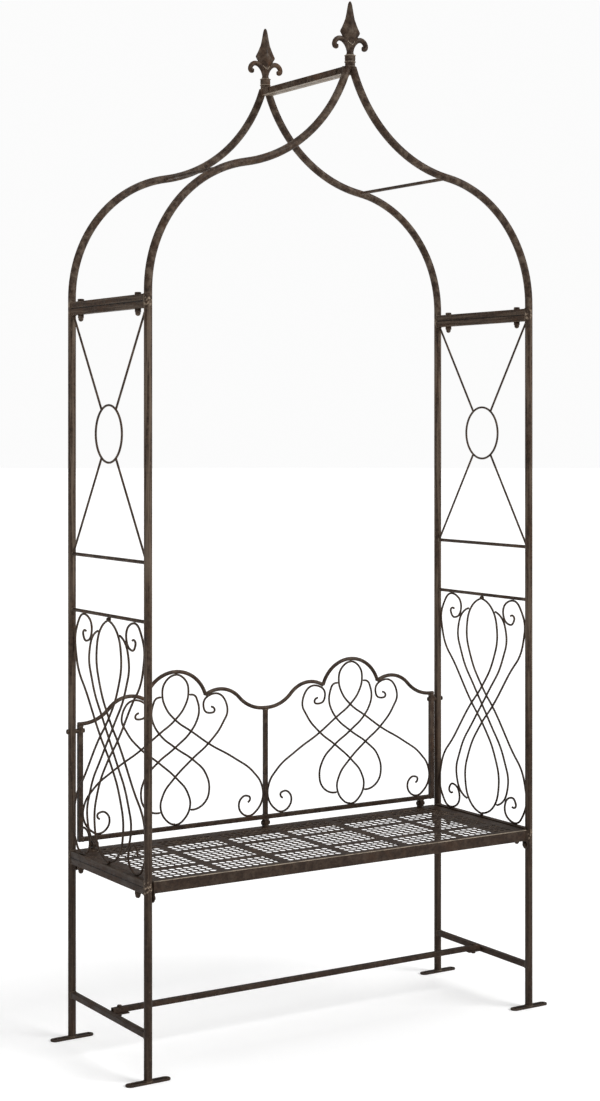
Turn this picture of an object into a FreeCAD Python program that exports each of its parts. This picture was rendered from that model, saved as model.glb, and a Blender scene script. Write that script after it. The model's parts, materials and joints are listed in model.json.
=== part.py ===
import FreeCAD, Part
import math
import os

from FreeCAD import Rotation, Vector

# Garden arch with a bench: two leg frames, two side frames with scrollwork, an ogee arch in
# two halves with finials, a perforated seat and a scrollwork back, all bolted together.
# Frame: X to the right, Y to the back, Z up; the origin is on the ground, midway between
# the posts.  Millimetres.

doc = FreeCAD.newDocument("garden_arch_bench")
sheet = doc.addObject("Spreadsheet::Sheet", "sizes")

SIZES = [
    # the plan and the levels
    ("post_spacing_x", 1034, "between post centres, left to right"),
    ("post_spacing_y", 369, "between post centres, front to back"),
    ("leg_height", 415, "ground to the joint between leg frame and side frame"),
    ("side_frame_height", 1250, "length of the side frame's posts"),
    ("joint_clearance", 0.3, "between a scroll's outer edge and the upright beside it"),
    # round tubes and square beams
    ("tube_diameter", 18, "legs, posts and arch tubes"),
    ("tube_wall", 1.5, "their wall"),
    ("beam_size", 15, "square beams of the bolted stacks and the ridge"),
    ("beam_wall", 1.5, "their wall"),
    # feet
    ("foot_length", 106, "flat bar under each leg, along X"),
    ("foot_width", 22, "its width"),
    ("foot_thickness", 4, "its thickness"),
    ("foot_hole_spacing", 84, "between its two screw holes"),
    ("foot_hole_diameter", 8.5, "for a ground anchor or screw"),
    # lower bars
    ("side_bar_size", 13, "square bar between front and rear leg"),
    ("side_bar_height", 94, "ground to its underside"),
    ("stretcher_size", 12, "square tube between the two side bars"),
    ("stretcher_gap", 2, "from its open end to the side bar"),
    ("stretcher_tab_thickness", 3, "welded tab that carries it"),
    ("stretcher_tab_length", 40, "along X"),
    ("stretcher_tab_width", 22, "along Y"),
    # side frames
    ("cross_bar_diameter", 8, "round bars across the side frames and the arch"),
    ("wire_diameter", 5, "scrolls, ring and diagonal rods"),
    ("scroll_bar_height", 979.5, "ground to the middle of the bar over the scrolls"),
    ("lattice_bar_height", 1106.5, "ground to the middle of the bar under the lattice"),
    ("ring_diameter", 127, "lattice ring, middle to middle of its wire"),
    # arch
    ("arch_spring", 24, "straight length of the arch tube under its shoulder"),
    ("shoulder_radius", 293, "outward arc of the arch"),
    ("shoulder_turn", 80, "degrees that the outward arc turns"),
    ("apex_slope", 71, "degrees above level at the top of the inward arc"),
    ("ridge_bolt_inset", 36, "from the apex tube to the ridge bolt"),
    ("finial_height", 148, "cast finial, base to tip"),
    ("finial_lip", 2, "finial's foot, past the tube under it"),
    ("finial_curl_diameter", 7, "round section of its curls"),
    # seat
    ("seat_rail_depth", 25, "height of the seat's rails"),
    ("seat_rail_thickness", 12, "width of the seat's rails"),
    ("seat_rail_wall", 1.5, "their wall"),
    ("seat_rail_drop", 13, "from the leg frame's top down to the underside of the rails"),
    ("seat_tab_thickness", 3, "plates at the ends of the front and rear rails"),
    ("seat_tab_width", 20, "their width"),
    ("seat_tab_drop", 10, "from the underside of the rails to the tab's screw"),
    ("seat_screw_reach", 3, "the screw's end, past the inside of the leg's wall"),
    ("seat_rear_rail_depth", 17.5, "height of the shallower rail at the rear"),
    ("seat_sheet_thickness", 1, "perforated sheet"),
    ("seat_square_length", 163, "pitch of the perforated squares along the seat"),
    ("seat_square_width", 130, "their pitch from front to rear"),
    ("seat_square_shift", 42.5, "from the seat's middle back to the first plain row"),
    ("seat_columns", 9, "columns of holes in a square's pitch, one of them left plain"),
    ("seat_rows", 7, "rows of holes in a square's pitch, one of them left plain"),
    ("seat_hole_diameter", 14.5, "round hole"),
    ("seat_hole_margin", 2, "least distance from a hole to a rail"),
    ("seat_brace_width", 20, "flat bars under the sheet"),
    ("seat_brace_thickness", 3, "their thickness"),
    # back
    ("stile_size", 11, "end stiles of the back"),
    ("stile_gap", 6, "between end stile and rear post"),
    ("centre_stile_size", 10, "middle stile of the back"),
    ("back_rail_size", 10, "square bottom rail of the back"),
    ("back_rail_lift", 18, "clear height under the bottom rail"),
    ("back_top_diameter", 9, "bent top rail"),
    ("stile_height", 255, "bottom rail to the underside of the top rail at the stiles"),
    ("hump_radius", 74, "side humps of the top rail"),
    ("hump_offset", 120, "from the middle of a half to the middle of its side hump"),
    ("hump_rise", 54, "side hump over the rail's ends"),
    ("crown_radius", 85, "middle arch of each half"),
    ("crown_rise", 103, "middle arch over the rail's ends"),
    ("pivot_offset", 462, "outer fixings of the back, from the middle"),
    ("pivot_tab_thickness", 6, "fixing tabs along X"),
    ("pivot_tab_width", 14, "fixing tabs along Y"),
    ("pivot_tab_clearance", 2.5, "tab's end to the bar that it faces"),
    # fasteners
    ("bolt_diameter", 8, "stack bolts"),
    ("bolt_across", 13, "across the flats of heads and cap nuts"),
    ("bolt_head", 5.3, "height of the heads"),
    ("cap_nut_hex", 8, "height of a cap nut's hexagon"),
    ("cap_nut_height", 16, "height of a cap nut with its dome"),
    ("cap_nut_shoulder", 0.6, "step from the hexagon's flats in to the dome"),
    ("bolt_end_clearance", 1, "between a bolt's end and the bottom of its cap nut's bore"),
    ("bolt_inset", 46, "from the post's middle to the stack bolt or stud"),
    ("screw_diameter", 6, "small screws and bolts"),
    ("screw_across", 10, "across the flats of their heads and nuts"),
    ("screw_head", 4, "height of their heads"),
    ("small_nut_height", 5, "height of their nuts"),
    ("hole_clearance", 0.3, "radial clearance of a bolt in its hole"),
    ("thread_clearance", 0.1, "radial clearance of a bolt in its nut"),
]
for row, (alias, number, note) in enumerate(SIZES, start=1):
    sheet.set(f"A{row}", str(number))
    sheet.setAlias(f"A{row}", alias)
    sheet.set(f"B{row}", note)
doc.recompute()

# Lengths that follow from the sheet, written as expressions of its cells
POST_X = "sizes.post_spacing_x / 2"
POST_Y = "sizes.post_spacing_y / 2"
TUBE_R = "sizes.tube_diameter / 2"
HALF_BEAM = "sizes.beam_size / 2"
FRAME_TOP = "(sizes.leg_height + sizes.side_frame_height)"
BAR_R = "sizes.cross_bar_diameter / 2"
WIRE_R = "sizes.wire_diameter / 2"
HOLE_R = "(sizes.bolt_diameter / 2 + sizes.hole_clearance)"
SCREW_HOLE_R = "(sizes.screw_diameter / 2 + sizes.hole_clearance)"
SEAT_END_X = f"({POST_X} - {TUBE_R} - sizes.seat_tab_thickness)"
RAIL_LOW = "(sizes.leg_height - sizes.seat_rail_drop)"
SHEET_LOW = f"({RAIL_LOW} + sizes.seat_rail_depth)"
SEAT_TOP = f"({SHEET_LOW} + sizes.seat_sheet_thickness)"
BACK_LOW = f"({SEAT_TOP} + sizes.back_rail_lift)"
BACK_RAIL_TOP = f"({BACK_LOW} + sizes.back_rail_size)"
STILE_TOP = f"({BACK_RAIL_TOP} + sizes.stile_height)"
STILE_OUTER_X = f"({POST_X} - {TUBE_R} - sizes.stile_gap)"
STILE_INNER_X = f"({STILE_OUTER_X} - sizes.stile_size)"
PIVOT_Z = f"({SEAT_TOP} + sizes.back_rail_lift / 2)"
BACK_BOLT_Z = f"({STILE_TOP} - sizes.stile_size)"

SIDES = (("left", -1), ("right", 1))
ENDS = (("front", -1), ("rear", 1))
ALONG_X = Rotation(Vector(0, 1, 0), 90)
ALONG_Y = Rotation(Vector(1, 0, 0), -90)
UPRIGHT = Rotation()
NODES = []


def size(expression):
    """The value of an expression of the sheet's cells."""
    return float(sheet.evalExpression(expression))


def place(thing, x, y, z, turn=UPRIGHT):
    """Turn an object and bind its position to three expressions."""
    thing.Placement = FreeCAD.Placement(Vector(), turn)
    for axis, expression in zip("xyz", (x, y, z)):
        thing.setExpression(f"Placement.Base.{axis}", str(expression))
    return thing


def box(name, low, lengths):
    """A box from its lowest corner and its three lengths."""
    thing = doc.addObject("Part::Box", name)
    for field, expression in zip(("Length", "Width", "Height"), lengths):
        thing.setExpression(field, str(expression))
    return place(thing, *low)


def cylinder(name, radius, length, start, turn=UPRIGHT):
    """A cylinder from the middle of its first end."""
    thing = doc.addObject("Part::Cylinder", name)
    thing.setExpression("Radius", str(radius))
    thing.setExpression("Height", str(length))
    return place(thing, *start, turn)


def hexagon(name, across, height, start, turn=UPRIGHT):
    """A hexagonal prism from the middle of its first end."""
    thing = doc.addObject("Part::Prism", name)
    thing.Polygon = 6
    thing.setExpression("Circumradius", f"({across}) / sqrt(3)")
    thing.setExpression("Height", str(height))
    return place(thing, *start, turn)


def fuse(name, pieces):
    thing = doc.addObject("Part::MultiFuse", name)
    thing.Shapes = pieces
    return thing


def cut(name, base, tools):
    """The base without its tools."""
    thing = doc.addObject("Part::Cut", name)
    thing.Base = base
    thing.Tool = tools[0] if len(tools) == 1 else fuse(name + "_tools", tools)
    return thing


def group(name, pieces):
    """Separate solids kept together in one node."""
    thing = doc.addObject("Part::Compound", name)
    thing.Links = pieces
    return thing


def made(name, shape):
    """A sub-part whose shape is worked out here, for bent wire, bent tube and castings."""
    thing = doc.addObject("Part::Feature", name)
    thing.Shape = shape
    return thing


def node(label, thing):
    """Name a finished sub-part, which is then written to its own file."""
    thing.Label = label
    NODES.append(thing)
    return thing


def post_axis(name, side, end):
    """The outside of a leg and its post, as a tool that shapes whatever is welded to them."""
    height = f"{FRAME_TOP} + 2 * sizes.beam_size"
    return cylinder(name, TUBE_R, height, (f"{side} * {POST_X}", f"{end} * {POST_Y}", 0))


def post_pair(name, side):
    return [post_axis(f"{name}_{end_name}_post_tool", side, end) for end_name, end in ENDS]


# ---------------------------------------------------------------- bent wire and tube

def arc_from(start, heading, end):
    """The arc that leaves start along heading and ends at end, or a line where it is straight."""
    chord = end - start
    turn = math.atan2(heading.x * chord.y - heading.y * chord.x, heading.dot(chord))
    if abs(turn) < 1e-4:
        return Part.LineSegment(start, end)
    sideways = Vector(chord.y, -chord.x, 0) * (math.tan(turn / 2) / 2)
    return Part.Arc(start, (start + end) * 0.5 + sideways, end)


def headings_along(points, first=None, last=None):
    """At each point, the direction of the circle through it and its neighbours."""
    inner = []
    for before, here, after in zip(points, points[1:], points[2:]):
        back, ahead = here - before, after - here
        way = back * (ahead.Length / back.Length) + ahead * (back.Length / ahead.Length)
        inner.append(way.normalize())

    def reflected(way, chord):
        chord = Vector(chord).normalize()
        return chord * (2 * way.dot(chord)) - way

    first = first or reflected(inner[0], points[1] - points[0])
    last = last or reflected(inner[-1], points[-1] - points[-2])
    return [first] + inner + [last]


def smooth_path(flat_points, first=None, last=None):
    """Tangent arcs through a few points in the plane, two arcs from each point to the next."""
    points = [Vector(across, up, 0) for across, up in flat_points]
    ways = headings_along(points, first, last)
    curves = []
    for start, way, end, next_way in zip(points, ways, points[1:], ways[1:]):
        chord, both = end - start, way + next_way
        spread = 2 * (1 - way.dot(next_way))
        if spread < 1e-9:
            reach = chord.dot(chord) / (4 * chord.dot(next_way))
        else:
            reach = (math.sqrt(chord.dot(both) ** 2 + spread * chord.dot(chord)) - chord.dot(both)) / spread
        middle = (start + end + (way - next_way) * reach) * 0.5
        curves.append(arc_from(start, way, middle))
        curves.append(arc_from(end, next_way * -1, middle))
    return [curve.toShape() for curve in curves]


def swept(edges, radius):
    """A round bar along a path of tangent edges in the XY plane."""
    wire = Part.Wire(Part.__sortEdges__(edges))
    first = wire.OrderedEdges[0]
    start = wire.OrderedVertexes[0].Point
    parameter = first.Curve.parameter(start)
    heading = first.tangentAt(parameter)
    profile = Part.Wire(Part.Edge(Part.Circle(start, heading, radius)))
    return wire.makePipeShell([profile], True, False)


def stood_up(shape, x, y, z, turned=0):
    """Stand a flat shape up (its Y becomes Z), turn it about Z and move it."""
    copy = shape.copy()
    placement = FreeCAD.Placement(Vector(x, y, z), Rotation(Vector(0, 0, 1), turned))
    upright = placement.multiply(FreeCAD.Placement(Vector(), Rotation(Vector(1, 0, 0), 90)))
    copy.Placement = upright.multiply(shape.Placement)
    return copy


# ---------------------------------------------------------------- leg frames

def leg(side_name, side, end_name, end):
    """A round tube on its foot, with a screw hole on its inner side for the seat."""
    name = f"leg_{end_name}_{side_name}"
    x, y = f"{side} * {POST_X}", f"{end} * {POST_Y}"
    length = "sizes.leg_height - sizes.foot_thickness"
    outside = cylinder(name + "_outside", TUBE_R, length, (x, y, "sizes.foot_thickness"))
    bore = cylinder(name + "_bore", f"{TUBE_R} - sizes.tube_wall", length, (x, y, "sizes.foot_thickness"))
    inner_x = x if side < 0 else f"{x} - sizes.tube_diameter"
    hole = cylinder(name + "_hole", SCREW_HOLE_R, "sizes.tube_diameter",
                    (inner_x, y, f"{RAIL_LOW} - sizes.seat_tab_drop"), ALONG_X)
    node(name, cut(name, outside, [bore, hole]))


def foot(side_name, side, end_name, end):
    """A flat bar with rounded ends and a screw hole near each end."""
    name = f"foot_{end_name}_{side_name}"
    x, y = f"{side} * {POST_X}", f"{end} * {POST_Y}"
    flat = "sizes.foot_length - sizes.foot_width"
    pieces = [box(name + "_bar", (f"{x} - ({flat}) / 2", f"{y} - sizes.foot_width / 2", 0),
                  (flat, "sizes.foot_width", "sizes.foot_thickness"))]
    holes = []
    for tip_name, tip in SIDES:
        pieces.append(cylinder(f"{name}_{tip_name}_end", "sizes.foot_width / 2", "sizes.foot_thickness",
                               (f"{x} + {tip} * ({flat}) / 2", y, 0)))
        holes.append(cylinder(f"{name}_{tip_name}_hole", "sizes.foot_hole_diameter / 2",
                              "sizes.foot_thickness", (f"{x} + {tip} * sizes.foot_hole_spacing / 2", y, 0)))
    node(name, cut(name, fuse(name + "_blank", pieces), holes))


def stack_beam(label, side, low, bolted=True):
    """A square tube along Y between two posts, shaped to them, with or without bolt holes."""
    x = f"{side} * {POST_X}"
    length = "sizes.post_spacing_y"
    start = (f"{x} - {HALF_BEAM}", f"-{POST_Y}", low)
    outside = box(label + "_outside", start, ("sizes.beam_size", length, "sizes.beam_size"))
    inside = box(label + "_inside", (f"{x} - {HALF_BEAM} + sizes.beam_wall", f"-{POST_Y}",
                                     f"{low} + sizes.beam_wall"),
                 ("sizes.beam_size - 2 * sizes.beam_wall", length, "sizes.beam_size - 2 * sizes.beam_wall"))
    tools = [inside] + post_pair(label, side)
    for end_name, end in ENDS if bolted else ():
        tools.append(cylinder(f"{label}_{end_name}_bolt_hole", HOLE_R, "sizes.beam_size",
                              (x, f"{end} * ({POST_Y} - sizes.bolt_inset)", low)))
    node(label, cut(label, outside, tools))


def side_bar(side_name, side):
    """The square bar low down between a front and a rear leg."""
    label = f"leg_side_bar_{side_name}"
    bar = box(label + "_bar", (f"{side} * {POST_X} - sizes.side_bar_size / 2", f"-{POST_Y}",
                               "sizes.side_bar_height"),
              ("sizes.side_bar_size", "sizes.post_spacing_y", "sizes.side_bar_size"))
    return cut(label, bar, post_pair(label, side))


BAR_FACE_X = f"({POST_X} - sizes.side_bar_size / 2)"
STRETCHER_LOW = "(sizes.side_bar_height + sizes.side_bar_size / 2)"
STRETCHER_BOLT_X = f"({BAR_FACE_X} - sizes.stretcher_tab_length / 2)"


def stretcher():
    """The long square tube between the leg frames, open at its ends, and the tabs under it."""
    half = f"({BAR_FACE_X} - sizes.stretcher_gap)"
    outside = box("stretcher_outside", (f"-{half}", "-sizes.stretcher_size / 2", STRETCHER_LOW),
                  (f"2 * {half}", "sizes.stretcher_size", "sizes.stretcher_size"))
    hollow = "sizes.stretcher_size - 2 * sizes.beam_wall"
    inside = box("stretcher_inside", (f"-{half}", f"-({hollow}) / 2", f"{STRETCHER_LOW} + sizes.beam_wall"),
                 (f"2 * {half}", hollow, hollow))
    holes, tabs, bolts, nuts = [], [], [], []
    tab_low = f"{STRETCHER_LOW} - sizes.stretcher_tab_thickness"
    for side_name, side in SIDES:
        name = f"stretcher_{side_name}"
        x = f"{side} * {STRETCHER_BOLT_X}"
        holes.append(cylinder(name + "_hole", SCREW_HOLE_R, "sizes.stretcher_size", (x, 0, STRETCHER_LOW)))
        inner = f"{side} * {BAR_FACE_X}" if side < 0 else f"{BAR_FACE_X} - sizes.stretcher_tab_length"
        plate = box(name + "_plate", (inner, "-sizes.stretcher_tab_width / 2", tab_low),
                    ("sizes.stretcher_tab_length", "sizes.stretcher_tab_width",
                     "sizes.stretcher_tab_thickness"))
        hole = cylinder(name + "_tab_hole", SCREW_HOLE_R, "sizes.stretcher_tab_thickness", (x, 0, tab_low))
        tabs.append(cut(name + "_tab", plate, [hole]))
        grip = "sizes.stretcher_size + sizes.stretcher_tab_thickness"
        bolts.append(screw(name + "_bolt", (x, 0, f"{STRETCHER_LOW} + sizes.stretcher_size"),
                           f"{grip} + sizes.small_nut_height", -1))
        nuts.append(small_nut(name + "_nut", (x, 0, tab_low), -1))
    node("stretcher", cut("stretcher", outside, [inside] + holes))
    node("stretcher_tabs", group("stretcher_tabs", tabs))
    return bolts, nuts


# ---------------------------------------------------------------- fasteners

def offset_along(start, axis, expression):
    """A start point moved along X or Z by an expression."""
    moved = list(start)
    moved["xyz".index(axis)] = f"{start['xyz'.index(axis)]} + ({expression})"
    return tuple(moved)


def fastener(name, start, way, axis, across, head, shank_radius, shank):
    """A hexagon head that stands on start, and its shank, which runs the other way."""
    turn = ALONG_X if axis == "x" else UPRIGHT
    head_start = start if way < 0 else offset_along(start, axis, f"-({head})")
    shank_start = offset_along(start, axis, f"-({shank})") if way < 0 else start
    return fuse(name, [hexagon(name + "_head", across, head, head_start, turn),
                       cylinder(name + "_shank", shank_radius, shank, shank_start, turn)])


def stack_bolt(name, start, grip):
    return fastener(name, start, -1, "z", "sizes.bolt_across", "sizes.bolt_head",
                    "sizes.bolt_diameter / 2", f"{grip} + sizes.cap_nut_hex")


def screw(name, start, shank, way, axis="z"):
    """A small hexagon screw; way is the direction in which its shank runs."""
    return fastener(name, start, way, axis, "sizes.screw_across", "sizes.screw_head",
                    "sizes.screw_diameter / 2", shank)


def small_nut(name, start, way, axis="z"):
    """A small hexagon nut that stands on start and reaches along way."""
    turn = ALONG_X if axis == "x" else UPRIGHT
    low = start if way > 0 else offset_along(start, axis, "-sizes.small_nut_height")
    body = hexagon(name + "_body", "sizes.screw_across", "sizes.small_nut_height", low, turn)
    bore = cylinder(name + "_bore", "sizes.screw_diameter / 2 + sizes.thread_clearance",
                    "sizes.small_nut_height", low, turn)
    return cut(name, body, [bore])


def cap_nut(name, x, y, top):
    """A domed nut hanging under top, with a blind bore for the bolt's end."""
    dome_radius = "(sizes.bolt_across / 2 - sizes.cap_nut_shoulder)"
    hexagon_low = f"{top} - sizes.cap_nut_hex"
    dome_middle = f"{top} - sizes.cap_nut_height + {dome_radius}"
    body = hexagon(name + "_hex", "sizes.bolt_across", "sizes.cap_nut_hex", (x, y, hexagon_low))
    neck = cylinder(name + "_neck", dome_radius, f"sizes.cap_nut_height - {dome_radius}",
                    (x, y, dome_middle))
    dome = doc.addObject("Part::Sphere", name + "_dome")
    dome.setExpression("Radius", dome_radius)
    place(dome, x, y, dome_middle)
    depth = "(sizes.cap_nut_hex + sizes.bolt_end_clearance)"
    bore = cylinder(name + "_bore", "sizes.bolt_diameter / 2 + sizes.thread_clearance", depth,
                    (x, y, f"{top} - {depth}"))
    return cut(name, fuse(name + "_solid", [body, neck, dome]), [bore])


def stack_fasteners():
    """Bolts through the upper stacks, studs welded over the lower ones, and their cap nuts."""
    bolts, studs, nuts = [], [], []
    for side_name, side in SIDES:
        for end_name, end in ENDS:
            x = f"{side} * {POST_X}"
            y = f"{end} * ({POST_Y} - sizes.bolt_inset)"
            bolts.append(stack_bolt(f"bolt_{end_name}_{side_name}", (x, y, f"{FRAME_TOP} + sizes.beam_size"),
                                    "2 * sizes.beam_size"))
            reach = "(sizes.beam_size + sizes.cap_nut_hex)"
            studs.append(cylinder(f"stud_{end_name}_{side_name}", "sizes.bolt_diameter / 2", reach,
                                  (x, y, f"sizes.leg_height - {reach}")))
            for level_name, joint in (("low", "sizes.leg_height"), ("high", FRAME_TOP)):
                nuts.append(cap_nut(f"cap_nut_{level_name}_{end_name}_{side_name}", x, y,
                                    f"{joint} - sizes.beam_size"))
    node("stack_bolts", group("stack_bolts", bolts))
    node("stack_studs", group("stack_studs", studs))
    node("stack_cap_nuts", group("stack_cap_nuts", nuts))


# ---------------------------------------------------------------- side frames

def post(side_name, side, end_name, end):
    """A long round tube; the rear ones have a cross hole for the back's bolt."""
    name = f"post_{end_name}_{side_name}"
    x, y = f"{side} * {POST_X}", f"{end} * {POST_Y}"
    outside = cylinder(name + "_outside", TUBE_R, "sizes.side_frame_height", (x, y, "sizes.leg_height"))
    bore = cylinder(name + "_bore", f"{TUBE_R} - sizes.tube_wall", "sizes.side_frame_height",
                    (x, y, "sizes.leg_height"))
    tools = [bore]
    if end > 0:
        tools.append(cylinder(name + "_cross_hole", SCREW_HOLE_R, "2 * sizes.tube_diameter",
                              (f"{x} - sizes.tube_diameter", y, BACK_BOLT_Z), ALONG_X))
    node(name, cut(name, outside, tools))


def round_bar(label, side, height):
    """A round bar along Y between the two posts of a side."""
    bar = cylinder(label + "_bar", BAR_R, "sizes.post_spacing_y",
                   (f"{side} * {POST_X}", f"-{POST_Y}", height), ALONG_Y)
    return cut(label, bar, post_pair(label, side))


def wire_ring(name, x, z):
    """The round ring in the middle of a lattice, its axis along X."""
    ring = doc.addObject("Part::Torus", name)
    ring.setExpression("Radius1", "sizes.ring_diameter / 2")
    ring.setExpression("Radius2", WIRE_R)
    return place(ring, x, 0, z, ALONG_X)


def lattice(side_name, side):
    """A ring between four straight rods that run to the corners of its opening."""
    x = f"{side} * {POST_X}"
    low = f"(sizes.lattice_bar_height + {BAR_R})"
    high = f"({FRAME_TOP} - sizes.beam_size)"
    middle = f"({low} + {high}) / 2"
    ring = wire_ring(f"lattice_ring_{side_name}", x, middle)
    post_face = size(f"{POST_Y} - {TUBE_R}")
    rise = size(f"({high} - {low}) / 2")
    reach = math.hypot(post_face, rise) + size(WIRE_R)
    rods = []
    lean = math.degrees(math.atan2(post_face, rise))
    corners = [("upper_front", lean), ("upper_rear", -lean), ("lower_rear", 180 + lean),
               ("lower_front", 180 - lean)]
    for corner, angle in corners:
        name = f"rod_{corner}_{side_name}"
        rod = cylinder(name + "_bar", WIRE_R, reach, (x, 0, middle), Rotation(Vector(1, 0, 0), angle))
        core = cylinder(name + "_core", "sizes.ring_diameter / 2", "2 * sizes.wire_diameter",
                        (f"{x} - sizes.wire_diameter", 0, middle), ALONG_X)
        beam = box(name + "_beam", (f"{x} - {HALF_BEAM}", f"-{POST_Y}", high),
                   ("sizes.beam_size", "sizes.post_spacing_y", "sizes.beam_size"))
        bar = cylinder(name + "_lower_bar", BAR_R, "sizes.post_spacing_y",
                       (x, f"-{POST_Y}", "sizes.lattice_bar_height"), ALONG_Y)
        around = wire_ring(name + "_ring_tool", x, middle)
        rods.append(cut(name, rod, [core, around, beam, bar] + post_pair(name, side)))
    return ring, rods


# Scroll strands, as shares of their panel's clear half width and half height, from the curl
# at the top outer corner to the drop at the bottom middle
SIDE_CURL_STRAND = [(0.68, 0.86), (0.745, 0.86), (0.73, 0.795), (0.60, 0.79), (0.51, 0.885),
                    (0.73, 1.0), (0.965, 0.86), (0.945, 0.60), (0.60, 0.295), (0.27, 0.02),
                    (0.0, -0.165), (-0.25, -0.395), (-0.375, -0.68), (-0.29, -0.875), (0.0, -1.0)]
SIDE_LOOP_STRAND = [(0.335, 0.88), (0.47, 0.835), (0.585, 0.67), (0.48, 0.43), (0.15, 0.125), (0.0, 0.0)]


def both_ways(points):
    """A strand from its first half, which ends in the middle, and the same turned half round."""
    return points + [(-across, -up) for across, up in reversed(points[:-1])]


def scroll_paths(strands, half_width, low, high):
    """Each strand's path, in the panel's own plane, from shares of its clear size."""
    middle, half_height = (low + high) / 2, (high - low) / 2
    paths = []
    for points, last in strands:
        scaled = [(across * half_width, middle + up * half_height) for across, up in points]
        paths.append(smooth_path(scaled, None, last))
    return paths


def scroll_strands(strands, half_width, low, high):
    """The strands' bars; they are drawn out or in until the widest just fills the clear width."""
    bounds = Part.Compound([edge for path in scroll_paths(strands, half_width, low, high)
                            for edge in path]).BoundBox
    widest = max(bounds.XMax, -bounds.XMin)
    paths = scroll_paths(strands, half_width * half_width / widest, low, high)
    return [swept(path, size(WIRE_R)) for path in paths]


def mirrored_pair(bars):
    """The bars in one layer and their mirror images in a second layer behind them."""
    step = size(WIRE_R)
    front = [bar.translated(Vector(0, 0, step)) for bar in bars]
    rear = [bar.mirror(Vector(), Vector(1, 0, 0)).translated(Vector(0, 0, -step)) for bar in bars]
    return front + rear


def side_scrolls():
    """The crossing scrolls between the seat and the scroll bar, three strands each way."""
    gap = size(WIRE_R)
    half_width = size(f"{POST_Y} - {TUBE_R}") - gap - size("sizes.joint_clearance")
    low = size("sizes.leg_height + sizes.beam_size") + gap
    high = size(f"sizes.scroll_bar_height - {BAR_R}") - gap
    level = Vector(-1, 0, 0)
    turned = [(-across, -up) for across, up in SIDE_CURL_STRAND]
    strands = [(SIDE_CURL_STRAND, level), (turned, Vector(1, 0, 0)), (both_ways(SIDE_LOOP_STRAND), None)]
    bars = mirrored_pair(scroll_strands(strands, half_width, low, high))
    for side_name, side in SIDES:
        x = side * size(POST_X)
        shapes = [stood_up(bar, x, 0, 0, side * 90) for bar in bars]
        node(f"side_scrolls_{side_name}", made(f"side_scrolls_{side_name}", Part.Compound(shapes)))


# ---------------------------------------------------------------- arch

def arch_centreline():
    """The right half of the arch: spring, outward shoulder and inward sweep up to the apex."""
    start = Vector(size(POST_X), size(FRAME_TOP), 0)
    spring = start + Vector(0, size("sizes.arch_spring"), 0)
    turn = math.radians(size("sizes.shoulder_turn"))
    slope = math.radians(size("sizes.apex_slope"))
    radius = size("sizes.shoulder_radius")
    centre = spring - Vector(radius, 0, 0)

    def on_shoulder(angle):
        return centre + Vector(radius * math.cos(angle), radius * math.sin(angle), 0)

    crossing = on_shoulder(turn)
    inward_from = math.pi / 2 - turn
    run = crossing.x - size(TUBE_R)
    sweep = run / (math.sin(slope) - math.sin(inward_from))
    sweep_centre = crossing + Vector(sweep * math.sin(inward_from), sweep * math.cos(inward_from), 0)

    def on_sweep(heading):
        return sweep_centre - Vector(sweep * math.sin(heading), sweep * math.cos(heading), 0)

    apex = on_sweep(slope)
    beyond = apex + Vector(-math.cos(slope), math.sin(slope), 0) * size("sizes.beam_size")
    edges = [Part.LineSegment(start, spring).toShape(),
             Part.Arc(spring, on_shoulder(turn / 2), crossing).toShape(),
             Part.Arc(crossing, on_sweep((inward_from + slope) / 2), apex).toShape(),
             Part.LineSegment(apex, beyond).toShape()]
    return edges, crossing, apex


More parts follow.
